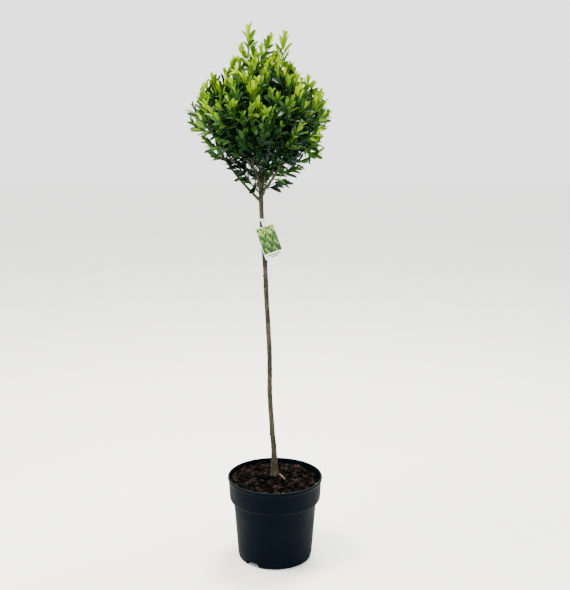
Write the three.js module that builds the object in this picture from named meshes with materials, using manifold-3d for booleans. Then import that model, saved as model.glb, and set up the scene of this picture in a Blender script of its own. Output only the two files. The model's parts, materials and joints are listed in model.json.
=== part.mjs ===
// A standard shrub in its nursery pot: one clear stem that carries a round clipped head of leafy shoots.
// Millimetres, +Z up. The origin is the centre of the pot's flat underside, and -Y is the side looked at.
// The head is grown by a seeded rule: boughs leave the stem, each mass of foliage starts at a bough's tip,
// and its twigs run to tips that are spread evenly over the head's outline.

import * as THREE from "three";
import { mergeVertices } from "three/addons/utils/BufferGeometryUtils.js";
import Module from "manifold-3d";

const wasm = await Module();
wasm.setup();

const clearance = 0.3; // gap that neighbours keep

// The pot: a thin tapered wall under a deep collar, on a foot with three drainage channels.
const pot = {
  height: 215,
  rimRadius: 120,
  collarRadius: 116,
  collarHeight: 50,
  shoulderDrop: 14,
  bodyRadius: 105,
  baseRadius: 94.5,
  footRadius: 90.5,
  footRound: 9,
  wall: 2,
  lipDrop: 12,
  segments: 36,
};
const channel = {
  count: 3,
  firstAngle: -128, // degrees from +X, so that one channel shows at the front left
  footWidth: 38,
  crownWidth: 30,
  height: 12,
  innerEnd: 30,
  roof: 2,
  holeRadius: 5,
  holeAt: 66,
};

// The filling: compost with coarse bark on top, heaped a little towards the stem.
const soil = { edgeHeight: 202, moundHeight: 209, seatRadius: 17 };
const bark = { count: 26, length: 26, width: 15, thickness: 8, seed: 11 };

// The stem, from its flat cut on the soil to its tip inside the head: [x, y, z, radius].
const stemCut = soil.moundHeight + clearance;
const stemRoute = [
  [-1.6, 12, stemCut, 10.4],
  [-1.8, 12, 218, 9],
  [-2.2, 12, 235, 8.1],
  [-2.4, 12, 255, 7.6],
  [-3.2, 12, 273, 6.5],
  [-7.1, 11, 326, 5.9],
  [-9.4, 10, 376, 5.7],
  [-12.7, 8, 435, 5.6],
  [-14.5, 6, 540, 5.5],
  [-17, 4, 624, 5.4],
  [-21.5, 3, 690, 5.3],
  [-25.4, 2, 764, 5.2],
  [-29.5, 1, 835, 5.1],
  [-33, 0, 915, 5],
  [-35, 0, 985, 4.6],
  [-36, 0, 1045, 3.9],
  [-38, 1, 1110, 3.2],
  [-37, 0, 1174, 2.4],
];
const stemSides = 10;
const stemInHead = 12; // the first point of the route that leaves can come near
const flare = { lobes: 5, depth: 0.2, height: 26 };

// The head's outline, as [height, radius] round its own upright axis.
const headAxis = { x: -36, y: 0 };
const headOutline = [
  [905, 10],
  [940, 38],
  [990, 92],
  [1040, 140],
  [1105, 168],
  [1160, 155],
  [1205, 122],
  [1245, 74],
  [1275, 18],
];

// The boughs, by the height where each leaves the stem and the place of its tip:
// angle in degrees from +X, distance from the head's axis, height.
const boughRadius = { start: 3.3, tip: 2.4 };
const boughSides = 5;
const boughs = [
  { name: "bough_left", leaves: 911, angle: 189, reach: 100, top: 1042 },
  { name: "bough_front_left", leaves: 950, angle: 252, reach: 76, top: 1040 },
  { name: "bough_front_right", leaves: 928, angle: 318, reach: 84, top: 1034 },
  { name: "bough_right", leaves: 958, angle: 12, reach: 80, top: 1040 },
  { name: "bough_back_right", leaves: 938, angle: 72, reach: 80, top: 1038 },
  { name: "bough_back_left", leaves: 966, angle: 132, reach: 78, top: 1042 },
];

// The masses of foliage, by the place of their centres. Each keeps to the space that is nearer to its own
// centre than to any other's, so the side masses stand upright round the one at the top.
// A mass grows from the tip of a bough, from the stem's tip, or from the stem's side at a height.
// A core is a rough ellipsoid: the place of its centre, its radius and how much taller than wide it is.
const sideCore = { reach: 76, height: 1112, radius: 34, tall: 2 };
const topCore = { reach: 0, height: 1214, radius: 28, tall: 1.3 };
const sideMass = { reach: 88, height: 1112, core: sideCore, colour: 0x4c7a22 };
const topMass = { reach: 0, height: 1112, core: topCore, colour: 0x86b02c };
const footMass = { reach: 40, height: 966, colour: 0x3b6420 };
const masses = [
  { name: "foliage_left", from: "bough_left", angle: 192, ...sideMass },
  { name: "foliage_front_left", from: "bough_front_left", angle: 252, ...sideMass },
  { name: "foliage_front_right", from: "bough_front_right", angle: 312, ...sideMass },
  { name: "foliage_right", from: "bough_right", angle: 12, ...sideMass },
  { name: "foliage_back_right", from: "bough_back_right", angle: 72, ...sideMass },
  { name: "foliage_back_left", from: "bough_back_left", angle: 132, ...sideMass },
  { name: "foliage_top", from: "tip", angle: 0, ...topMass },
  { name: "foliage_foot_left", from: 928, angle: 222, ...footMass },
  { name: "foliage_foot_right", from: 936, angle: 342, ...footMass },
  { name: "foliage_foot_back", from: 922, angle: 102, ...footMass },
];

// Long shoots that stand out of the clipped outline, each by the highest point of its leaves: [x, y, z].
const longShoots = [
  [-64, -8, 1326],
  [-88, 12, 1278],
  [-14, 6, 1300],
  [26, -4, 1301],
  [-54, 58, 1292],
  [-30, -62, 1284],
  [10, 66, 1276],
];

// How steeply the shoots stand at their ends, as [height, degrees above level], and how much their leaves
// lift or hang, as [height, share of a leaf's length].
const shootRise = [
  [920, 4],
  [1000, 24],
  [1100, 46],
  [1180, 62],
  [1250, 84],
];
const leafLift = [
  [920, -0.7],
  [1010, -0.4],
  [1080, 0],
  [1180, 0.2],
];

const stemRings = 5; // along the stem of a mass, where its shoots start
const twig = { sides: 3, root: 2.7, end: 2.1, stemRadius: 2.4, tipTaper: 5 };
const leaf = { length: 47, width: 17, keel: 1.9, arch: 2.4, spacing: 18, footHeight: 3.2 };
const growth = {
  shoots: 148,
  seed: 7,
  inset: 38, // from the outline to the end of a shoot, for the leaves past it
  overhang: 5, // how far a leaf may pass the outline
  gap: 0.35, // between a mass and the bounds of its space
  limbGap: 1, // between leaves and the nearest limb
  seamGap: 11, // between the ends of shoots and the bounds of their mass
  crowding: 7, // between the middles of leaves and other leaves and twigs
  shortest: 24, // a shoot shorter than this isn't grown
  turns: 6, // ways to turn a shoot that are tried
};

// How close together the shoots' ends lie, as [height, share of the usual].
const shootDensity = [
  [1045, 1.9],
  [1055, 1],
  [1225, 1],
  [1245, 1.7],
];

// How far the leaves open from the twig, in degrees: three round its end, then three at each node below.
const leafOpens = [
  [17, 28, 38],
  [43, 49, 46],
  [53, 57, 55],
];

// The hang tag: a card on a strap that closes round the stem.
const tag = {
  height: 868,
  strapWidth: 5,
  strapThickness: 0.9,
  cardWidth: 47,
  cardLength: 80,
  cardThickness: 1,
  cardCorner: 3,
  lean: 20, // degrees that the card hangs away from upright
  turn: -8, // degrees that its face looks away from the front
  tail: 16.5,
};

const colours = {
  pot: 0x20262b,
  soil: 0x3a2820,
  stem: 0x6b5d4b,
  bough: 0x5d5636,
  tag: 0xf4f4ee,
};

// Small helpers.

const up = new THREE.Vector3(0, 0, 1);
const radians = THREE.MathUtils.degToRad;
const vector = (x, y, z) => new THREE.Vector3(x, y, z);
const goldenAngle = 137.508; // degrees from one of an evenly scattered row to the next

// Seeded random numbers from 0 to 1.
function randomFrom(seed) {
  let state = seed >>> 0;
  return () => {
    state = (state + 0x6d2b79f5) >>> 0;
    let t = state;
    t = Math.imul(t ^ (t >>> 15), t | 1);
    t ^= t + Math.imul(t ^ (t >>> 7), t | 61);
    return ((t ^ (t >>> 14)) >>> 0) / 4294967296;
  };
}

// A geometry whose faces share their corners.
function withSharedCorners(geometry) {
  const bare = geometry.clone();
  bare.deleteAttribute("normal");
  bare.deleteAttribute("uv");
  return mergeVertices(bare, 1e-4);
}

// A closed geometry as a solid that can be joined and cut.
function solidOf(geometry) {
  const merged = withSharedCorners(geometry);
  return new wasm.Manifold(
    new wasm.Mesh({
      numProp: 3,
      vertProperties: new Float32Array(merged.attributes.position.array),
      triVerts: new Uint32Array(merged.index.array),
    }),
  );
}

// A solid back as a geometry.
function geometryOf(solid) {
  const mesh = solid.getMesh();
  const geometry = new THREE.BufferGeometry();
  geometry.setAttribute("position", new THREE.BufferAttribute(new Float32Array(mesh.vertProperties), 3));
  geometry.setIndex(new THREE.BufferAttribute(new Uint32Array(mesh.triVerts), 1));
  const shaded = geometry.toNonIndexed();
  shaded.computeVertexNormals();
  return shaded;
}

// The largest body of a solid, without the loose scraps and sealed hollows that joining can leave.
function largestBody(solid) {
  return solid.decompose().reduce((a, b) => (b.volume() > a.volume() ? b : a));
}

function closedGeometry(points, faces) {
  const geometry = new THREE.BufferGeometry();
  const flat = new Float32Array(points.flatMap((p) => [p.x, p.y, p.z]));
  geometry.setAttribute("position", new THREE.BufferAttribute(flat, 3));
  geometry.setIndex(faces.flat());
  return geometry;
}

// A profile of [radius, height] points turned round the Z axis.
function turned(profile, segments) {
  const points = profile.map(([radius, height]) => new THREE.Vector2(radius, height));
  return new THREE.LatheGeometry(points, segments).rotateX(Math.PI / 2);
}

// The frames of rings along a route: the place, the way along and two ways across, turned by twist.
function framesAlong(route, twist = 0) {
  let across = null;
  return route.map((at, i) => {
    const along = route[Math.min(i + 1, route.length - 1)].clone().sub(route[Math.max(i - 1, 0)]).normalize();
    across ??= (Math.abs(along.z) > 0.9 ? vector(1, 0, 0) : up.clone()).applyAxisAngle(along, twist);
    across = across.clone().addScaledVector(along, -across.dot(along)).normalize();
    return { at, along, across, other: along.clone().cross(across) };
  });
}

// A tapering limb with flat ends, as rings of points on its frames. shape() can swell a ring at an angle.
function limbGeometry(frames, radii, sides, shape = () => 1) {
  const points = frames.flatMap(({ at, across, other }, i) =>
    Array.from({ length: sides }, (_, k) => {
      const angle = (2 * Math.PI * k) / sides;
      const radius = radii[i] * shape(angle, at.z);
      return at
        .clone()
        .addScaledVector(across, radius * Math.cos(angle))
        .addScaledVector(other, radius * Math.sin(angle));
    }),
  );
  const faces = [];
  for (let i = 0; i + 1 < frames.length; i++) {
    for (let k = 0; k < sides; k++) {
      const [a, b] = [i * sides + k, i * sides + ((k + 1) % sides)];
      faces.push([a, b, b + sides], [a, b + sides, a + sides]);
    }
  }
  const last = (frames.length - 1) * sides;
  for (let k = 1; k + 1 < sides; k++) {
    faces.push([0, k + 1, k], [last, last + k, last + k + 1]);
  }
  return closedGeometry(points, faces);
}

// Evenly spaced numbers from a to b.
const spread = (a, b, count) => Array.from({ length: count }, (_, i) => a + ((b - a) * i) / (count - 1));

// The value at a height in a list of [height, value] points.
function valueAt(list, height) {
  const above = list.findIndex(([z]) => z >= height);
  if (above < 0) return list.at(-1)[1];
  if (above === 0) return list[0][1];
  const [[z0, v0], [z1, v1]] = [list[above - 1], list[above]];
  return v0 + ((v1 - v0) * (height - z0)) / (z1 - z0);
}

// A point of the head by its angle in degrees from +X, its distance from the head's axis and its height.
function headPoint(angle, reach, height) {
  const turn = radians(angle);
  return vector(headAxis.x + reach * Math.cos(turn), headAxis.y + reach * Math.sin(turn), height);
}

// The pot and its filling.

const inner = (radius) => radius - pot.wall;
const collarFoot = pot.height - pot.collarHeight;
const shoulder = collarFoot - pot.shoulderDrop;

const outside = [
  [0, 0],
  [pot.footRadius, 0],
  [pot.baseRadius - 1, pot.footRound * 0.45],
  [pot.baseRadius, pot.footRound],
  [pot.bodyRadius, shoulder],
  [pot.collarRadius - 8.5, shoulder + 2.5],
  [pot.collarRadius - 3.5, collarFoot - 10],
  [pot.collarRadius - 1.5, collarFoot - 3],
  [pot.collarRadius - 0.5, collarFoot],
  [pot.collarRadius + 1.5, pot.height - pot.lipDrop],
  [pot.rimRadius, pot.height - 3],
  [pot.rimRadius - 0.8, pot.height],
];
const inside = [
  [inner(pot.rimRadius) - 0.5, pot.height],
  [inner(pot.collarRadius) + 1.5, pot.height - pot.lipDrop],
  [inner(pot.collarRadius) - 0.5, collarFoot],
  [inner(pot.bodyRadius), shoulder],
  [inner(pot.baseRadius), pot.footRound],
  [inner(pot.footRadius), pot.wall],
  [0, pot.wall],
];

// One channel's arched section, run outwards from innerEnd, grown by a margin.
function channelGeometry(index, margin, outerEnd) {
  const { footWidth, crownWidth, height, innerEnd } = channel;
  const bottom = margin > 0 ? pot.wall / 2 : -1;
  const shape = new THREE.Shape([
    new THREE.Vector2(-footWidth / 2 - margin, bottom),
    new THREE.Vector2(footWidth / 2 + margin, bottom),
    new THREE.Vector2(footWidth / 2 + margin, height * 0.55),
    new THREE.Vector2(crownWidth / 2 + margin, height + margin),
    new THREE.Vector2(-crownWidth / 2 - margin, height + margin),
    new THREE.Vector2(-footWidth / 2 - margin, height * 0.55),
  ]);
  const start = innerEnd - margin;
  const geometry = new THREE.ExtrudeGeometry(shape, { depth: outerEnd - start, bevelEnabled: false });
  const angle = radians(channel.firstAngle + (360 / channel.count) * index);
  // The section stands upright, and its length points outwards along +X before it is turned.
  geometry.rotateX(Math.PI / 2).rotateZ(Math.PI / 2).translate(start, 0, 0);
  return geometry.rotateZ(angle);
}

function drainHole(index) {
  const angle = radians(channel.firstAngle + (360 / channel.count) * index);
  return new THREE.CylinderGeometry(channel.holeRadius, channel.holeRadius, 12, 16)
    .rotateX(Math.PI / 2)
    .translate(channel.holeAt * Math.cos(angle), channel.holeAt * Math.sin(angle), channel.height);
}

function potSolid() {
  const shell = solidOf(turned([...outside, ...inside], pot.segments));
  const body = solidOf(turned([...outside, [0, pot.height]], pot.segments));
  const indexes = [...Array(channel.count).keys()];
  const roofs = indexes.map((i) => solidOf(channelGeometry(i, channel.roof, pot.rimRadius)).intersect(body));
  const cuts = indexes.flatMap((i) => [
    solidOf(channelGeometry(i, 0, pot.rimRadius)),
    solidOf(drainHole(i)),
  ]);
  return wasm.Manifold.union([shell, ...roofs]).subtract(wasm.Manifold.union(cuts)).simplify(0.02);
}

// One piece of coarse bark: a box with its corners knocked about, laid nearly flat.
function barkChip(random, x, y, z) {
  const size = 0.55 + 0.75 * random();
  const box = new THREE.BoxGeometry(bark.length * size, bark.width * size, bark.thickness * size);
  const chip = withSharedCorners(box);
  const place = chip.attributes.position;
  for (let i = 0; i < place.count; i++) {
    place.setXYZ(
      i,
      place.getX(i) * (0.6 + 0.6 * random()),
      place.getY(i) * (0.6 + 0.6 * random()),
      place.getZ(i) * (0.7 + 0.5 * random()),
    );
  }
  return chip
    .rotateX(0.7 * (random() - 0.5))
    .rotateY(0.6 * (random() - 0.5))
    .rotateZ(2 * Math.PI * random())
    .translate(x, y, z + 0.5);
}

const [stemX, stemY] = stemRoute[0];

// The filling's surface falls from the seat under the stem to the pot's wall.
function soilHeight(x, y) {
  const away = Math.hypot(x - stemX, y - stemY);
  const share = Math.min(Math.max((away - soil.seatRadius) / (pot.collarRadius - soil.seatRadius), 0), 1);
  return soil.moundHeight - (soil.moundHeight - soil.edgeHeight) * Math.sqrt(share);
}

function soilSolid() {
  const gap = clearance + pot.wall;
  const body = solidOf(
    turned(
      [
        [0, pot.wall + clearance],
        [pot.footRadius - gap, pot.wall + clearance],
        [pot.baseRadius - gap, pot.footRound + 0.3],
        [pot.bodyRadius - gap, shoulder],
        [pot.collarRadius - 0.5 - gap, collarFoot],
        [pot.collarRadius + 0.2 - gap, soil.edgeHeight],
        [pot.collarRadius * 0.6, soil.edgeHeight + 1.5],
        [0, soil.edgeHeight + 3],
      ],
      pot.segments,
    ),
  );
  // The heap round the stem, with the flat seat that the stem's cut stands on.
  const heap = solidOf(
    turned(
      [
        [0, soil.edgeHeight - 6],
        [74, soil.edgeHeight - 6],
        [52, soil.edgeHeight + 4],
        [soil.seatRadius, soil.moundHeight],
        [0, soil.moundHeight],
      ],
      24,
    ).translate(stemX, stemY, 0),
  );
  const random = randomFrom(bark.seed);
  const chips = [];
  for (let i = 0; i < bark.count; i++) {
    const angle = radians(i * goldenAngle);
    const reach = 30 + (pot.collarRadius - 46) * Math.sqrt((i + 0.5) / bark.count);
    const [x, y] = [reach * Math.cos(angle), reach * Math.sin(angle)];
    const away = Math.hypot(x - stemX, y - stemY);
    if (away < soil.seatRadius + 17) continue;
    chips.push(solidOf(barkChip(random, x, y, soilHeight(x, y) - 2)));
  }
  const roofs = [...Array(channel.count).keys()].map((i) =>
    solidOf(channelGeometry(i, channel.roof + clearance, pot.rimRadius)),
  );
  // Chips that lie at the edge end short of the pot's wall.
  const edge = pot.collarRadius - gap - 0.7;
  const within = solidOf(turned([[0, 0], [edge, 0], [edge, pot.height], [0, pot.height]], pot.segments));
  const filled = wasm.Manifold.union([body, heap, wasm.Manifold.union(chips).intersect(within)]);
  return largestBody(filled.subtract(wasm.Manifold.union(roofs)).simplify(0.02));
}

// The stem and the boughs.

function stemGeometry(grown = 0) {
  const frames = framesAlong(stemRoute.map(([x, y, z]) => vector(x, y, z)));
  const radii = stemRoute.map(([, , , radius]) => radius + grown);
  return limbGeometry(frames, radii, stemSides, (angle, height) => {
    const share = Math.max(0, 1 - (height - stemCut) / flare.height);
    return 1 + flare.depth * share * share * Math.cos(flare.lobes * angle);
  });
}

function stemPoint(height) {
  const above = stemRoute.findIndex(([, , z]) => z >= height);
  const [low, high] = [stemRoute[above - 1], stemRoute[above]];
  const share = (height - low[2]) / (high[2] - low[2]);
  return vector(low[0] + (high[0] - low[0]) * share, low[1] + (high[1] - low[1]) * share, height);
}

// A bough leaves the stem at about half a right angle, and turns up towards its tip.
function boughRoute({ leaves, angle, reach, top }) {
  const start = stemPoint(leaves);
  const tip = headPoint(angle, reach, top);
  const rise = top - leaves;
  const middle = start.clone().lerp(tip, 0.5);
  middle.x += (tip.x - start.x) * 0.1;
  middle.y += (tip.y - start.y) * 0.1;
  middle.z -= rise * 0.06;
  const curve = new THREE.QuadraticBezierCurve3(start, middle, tip);
  return { points: curve.getPoints(4), tip, heading: curve.getTangent(1) };
}

function boughGeometry(bough, grown = 0) {
  const { points } = boughRoute(bough);
  const radii = spread(boughRadius.start + grown, boughRadius.tip + grown, points.length);
  return limbGeometry(framesAlong(points), radii, boughSides);
}

// The foliage.

const centreOf = (mass) => headPoint(mass.angle, mass.reach, mass.height);
const coreCentreOf = ({ angle, core }) => headPoint(angle, core.reach, core.height);

// The planes that bound the space of a mass: points p inside have normal . p below offset.
function spaceOf(mass) {
  const own = centreOf(mass);
  return masses
    .filter((other) => other !== mass)
    .map((other) => {
      const centre = centreOf(other);
      const normal = centre.clone().sub(own).normalize();
      return { normal, offset: normal.dot(centre.clone().add(own)) / 2 };
    });
}

function depthInSpace(point, space) {
  return Math.min(...space.map(({ normal, offset }) => offset - normal.dot(point)));
}

const limbs = [
  ...boughs.map((bough) => ({ points: boughRoute(bough).points, radius: boughRadius.start })),
  {
    points: stemRoute.slice(stemInHead).map(([x, y, z]) => vector(x, y, z)),
    radius: stemRoute[stemInHead][3],
  },
];

// The distance from a point to the surface of the nearest limb.
function distanceToLimbs(point) {
  const nearest = new THREE.Vector3();
  return Math.min(
    ...limbs.flatMap(({ points, radius }) =>
      points.slice(1).map((end, i) => {
        new THREE.Line3(points[i], end).closestPointToPoint(point, true, nearest);
        return nearest.distanceTo(point) - radius;
      }),
    ),
  );
}

// The way a shoot points at its end.
function shootHeading(angle, height) {
  const rise = radians(valueAt(shootRise, height));
  const turn = radians(angle);
  return vector(Math.cos(turn) * Math.cos(rise), Math.sin(turn) * Math.cos(rise), Math.sin(rise));
}

// Ends of shoots, spread evenly over the head's outline and drawn in by the reach of their last leaves.
function shootEnds(random) {
  const heights = spread(headOutline[0][0], headOutline.at(-1)[0], 60);
  const radii = heights.map((height) => valueAt(headOutline, height));
  const rise = heights[1] - heights[0];
  const slopes = radii.map((radius, i) => (radius - radii[Math.max(i - 1, 0)]) / rise);
  const shares = radii.map(
    (radius, i) => radius * Math.hypot(1, slopes[i]) * valueAt(shootDensity, heights[i]),
  );
  const total = shares.reduce((a, b) => a + b);
  const ends = [];
  for (let i = 0; i < growth.shoots; i++) {
    let left = (total * (i + 0.5)) / growth.shoots;
    const row = Math.max(shares.findIndex((share) => (left -= share) <= 0), 0);
    const angle = (i * goldenAngle) % 360;
    const inset = growth.inset * (0.85 + 0.3 * random());
    const steep = Math.hypot(1, slopes[row]);
    const reach = Math.max(radii[row] - inset / steep, 4);
    const at = headPoint(angle, reach, heights[row] + (inset * slopes[row]) / steep);
    ends.push({ at, heading: shootHeading(angle, heights[row]), free: false });
  }
  for (const [x, y, z] of longShoots) {
    const away = vector(x - headAxis.x, y - headAxis.y, 0).multiplyScalar(0.004);
    const heading = up.clone().add(away).normalize();
    ends.push({ at: vector(x, y, z).addScaledVector(heading, -growth.inset), heading, free: true });
  }
  return ends;
}

// The start of a mass: where its stem meets the bough's tip, the stem's tip or the stem's side.
function massStart(mass) {
  const bough = boughs.find(({ name }) => name === mass.from);
  if (bough) {
    const { tip, heading } = boughRoute(bough);
    return { start: tip.clone().addScaledVector(heading, clearance), heading };
  }
  if (mass.from === "tip") {
    const [x, y, z] = stemRoute.at(-1);
    return { start: vector(x, y, z + clearance), heading: up.clone() };
  }
  const start = stemPoint(mass.from);
  return { start, heading: centreOf(mass).sub(start).normalize() };
}

// The rings of a shoot, by their distance below its end: the leafy ones, and the bare one on a long shoot
// that other shoots grow from.
function ringsBelowEnd(length) {
  const all = leafOpens.map((_, k) => twig.tipTaper + k * leaf.spacing);
  const leafy = all.filter((below) => below < length - 10);
  const rest = length - leafy.at(-1);
  return { leafy, bare: rest > 50 ? length - rest / 2 : null };
}

// The twigs of one mass: its stem, then a shoot to each end, from the best place on the twigs grown so far
// that gives it a clear way.
function growTwigs(mass, ends, isClear) {
  const { start, heading } = massStart(mass);
  const centre = mass.core ? coreCentreOf(mass) : centreOf(mass);
  const crest = centre.clone().setZ(centre.z + (mass.core ? mass.core.radius * mass.core.tall * 0.6 : 12));
  const bend = start.clone().addScaledVector(heading, start.distanceTo(centre) * 0.4);
  const stem = new THREE.CubicBezierCurve3(start, bend, centre, crest);
  const shoots = [];
  const shares = spread(1 / stemRings, 1, stemRings);
  const places = shares.map((t) => ({ point: stem.getPoint(t), way: stem.getTangent(t) }));
  const ordered = [...ends].sort((a, b) => a.at.distanceTo(start) - b.at.distanceTo(start));
  for (const end of ordered) {
    const cost = ({ point, way }) => {
      const reach = end.at.clone().sub(point);
      const turn = 1 - reach.clone().normalize().dot(way);
      return reach.length() * (1 + 0.8 * turn) + (reach.length() < 40 ? 80 : 0);
    };
    const curve = places
      .toSorted((a, b) => cost(a) - cost(b))
      .map(({ point }) => {
        const elbow = end.at.clone().addScaledVector(end.heading, -0.45 * end.at.distanceTo(point));
        return new THREE.QuadraticBezierCurve3(point, elbow, end.at);
      })
      .find(isClear);
    if (!curve) continue;
    shoots.push({ curve, free: end.free });
    const { bare } = ringsBelowEnd(curve.getLength());
    if (bare) {
      const share = 1 - bare / curve.getLength();
      places.push({ point: curve.getPointAt(share), way: curve.getTangentAt(share) });
    }
  }
  return { stem, shoots };
}

const twigSides = [...Array(twig.sides).keys()];

// Points down the middle of a leaf, which keep their distance from other leaves and twigs.
const lineOf = (foot, blade) => [0.25, 0.45, 0.65, 0.9].map((t) => foot.clone().lerp(blade.at(-1), t));

// The corners of a leaf that grows from a foot: left, right, keel and tip. It bends at its widest place.
function leafCorners(foot, along, face, size) {
  const right = face.clone().cross(along).normalize();
  const place = (share, aside, above) =>
    foot
      .clone()
      .addScaledVector(along, share * leaf.length * size)
      .addScaledVector(right, aside)
      .addScaledVector(face, above);
  const half = (leaf.width * size) / 2;
  return [
    place(0.52, -half, leaf.arch),
    place(0.52, half, leaf.arch),
    place(0.34, 0, leaf.arch * 0.34 - leaf.keel),
    place(1, 0, -leaf.arch * 0.5),
  ];
}

// A ring of a twig's corners at a distance below the curve's end. It is turned by spin from the ring before.
function twigRing(curve, below, spin, radius, before) {
  const share = Math.max(1 - below / curve.getLength(), 0);
  const at = curve.getPointAt(share);
  const along = curve.getTangentAt(share);
  const straight = before.clone().addScaledVector(along, -before.dot(along)).normalize();
  const across = straight.applyAxisAngle(along, spin);
  const other = along.clone().cross(across);
  const around = (angle) =>
    across.clone().multiplyScalar(Math.cos(angle)).addScaledVector(other, Math.sin(angle));
  const step = (2 * Math.PI) / twig.sides;
  const corners = twigSides.map((k) => at.clone().addScaledVector(around(k * step), radius));
  const outward = twigSides.map((k) => around((k + 0.5) * step));
  return { at, along, across, corners, outward };
}

// A leaf on one side of a ring, on the triangle between two corners of the ring and a top corner.
function leafOn(ring, side, open, top, random, allowed) {
  const { at, along: axis, corners, outward } = ring;
  const foot = corners[side].clone().add(corners[(side + 1) % twig.sides]).add(top).divideScalar(3);
  const along = axis.clone().multiplyScalar(Math.cos(open)).addScaledVector(outward[side], Math.sin(open));
  along.z += valueAt(leafLift, at.z) * (0.4 + 0.6 * Math.sin(open));
  along.normalize();
  const face = axis.clone().multiplyScalar(Math.sin(open)).addScaledVector(outward[side], -Math.cos(open));
  face.addScaledVector(along, -face.dot(along)).normalize();
  const size = 0.86 + 0.22 * random();
  const sizes = [size, size * 0.8, size * 0.64];
  const blade = sizes.map((each) => leafCorners(foot, along, face, each)).find((each) => allowed(foot, each));
  return blade ? { foot, blade } : null;
}

// A shoot with its leaves as one closed surface: each leaf grows out of a triangle of the twig's side, at
// its end out of the pointed tip. allowed() says whether there is room for a leaf.
function growShoot(curve, twist, random, allowed) {
  const length = curve.getLength();
  const apex = curve.getPoint(1);
  const turn = Math.PI / twig.sides;
  const { leafy, bare } = ringsBelowEnd(length);
  const heading = curve.getTangent(1);
  let across = Math.abs(heading.z) > 0.97 ? vector(0, 1, 0) : up.clone();
  const nextRing = (below, spin, radius) => {
    const ring = twigRing(curve, below, spin, radius, across);
    across = ring.across;
    return ring;
  };
  const nodes = leafy.map((below, k) => {
    const ring = nextRing(below, k === 0 ? twist : -turn, twig.end);
    const leaves = leafOpens[k].map((open, side) => {
      const middle = ring.corners[side].clone().lerp(ring.corners[(side + 1) % twig.sides], 0.5);
      const top = k === 0 ? apex : middle.addScaledVector(ring.along, leaf.footHeight);
      const angle = radians(open + 10 * (random() - 0.5));
      return { top, grown: leafOn(ring, side, angle, top, random, allowed) };
    });
    return { ring, leaves };
  });
  while (nodes.length > 1 && !nodes.at(-1).leaves.some(({ grown }) => grown)) nodes.pop();
  across = nodes.at(-1).ring.across;
  for (const below of bare ? [bare, length] : [length]) {
    nodes.push({ ring: nextRing(below, -turn, twig.root) });
  }
  const points = [];
  const faces = [];
  const add = (point) => points.push(point) - 1;
  const lines = [];
  const place = (a, b, c, grown) => {
    if (!grown) {
      faces.push([a, b, c]);
      return;
    }
    const { foot, blade } = grown;
    lines.push(...lineOf(foot, blade));
    const [left, right, keel, tip] = blade.map(add);
    faces.push([c, left, right], [tip, right, left], [a, b, keel], [a, keel, left], [b, right, keel]);
    faces.push([tip, left, keel], [tip, keel, right], [c, a, left], [b, c, right]);
  };
  const rings = nodes.map(({ ring }) => ring.corners.map(add));
  const point = add(apex);
  nodes.forEach(({ leaves }, i) => {
    for (const side of twigSides) {
      const next = (side + 1) % twig.sides;
      const [a, b] = [rings[i][side], rings[i][next]];
      if (i === 0) {
        place(a, b, point, leaves[side].grown);
        continue;
      }
      const [c, d] = [rings[i - 1][next], rings[i - 1][side]];
      if (!leaves?.[side].grown) {
        faces.push([a, b, d], [b, c, d]);
        continue;
      }
      const top = add(leaves[side].top);
      faces.push([b, c, top], [c, d, top], [d, a, top]);
      place(a, b, top, leaves[side].grown);
    }
  });
  faces.push(rings.at(-1).toReversed());
  return { geometry: closedGeometry(points, faces), lines };
}

// The smaller core that the leaves of a dense mass stand out of, kept inside the mass's space.
function coreSolid(mass, space, random) {
  const { radius, tall } = mass.core;
  const lumps = withSharedCorners(new THREE.IcosahedronGeometry(radius, 1));
  const place = lumps.attributes.position;
  for (let i = 0; i < place.count; i++) {
    const swell = 0.74 + 0.4 * random();
    place.setXYZ(i, place.getX(i) * swell, place.getY(i) * swell, place.getZ(i) * swell * tall);
  }
  const centre = coreCentreOf(mass);
  lumps.translate(centre.x, centre.y, centre.z);
  return space.reduce(
    (solid, { normal, offset }) => solid.trimByPlane(normal.clone().negate().toArray(), growth.gap - offset),
    solidOf(lumps),
  );
}

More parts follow.
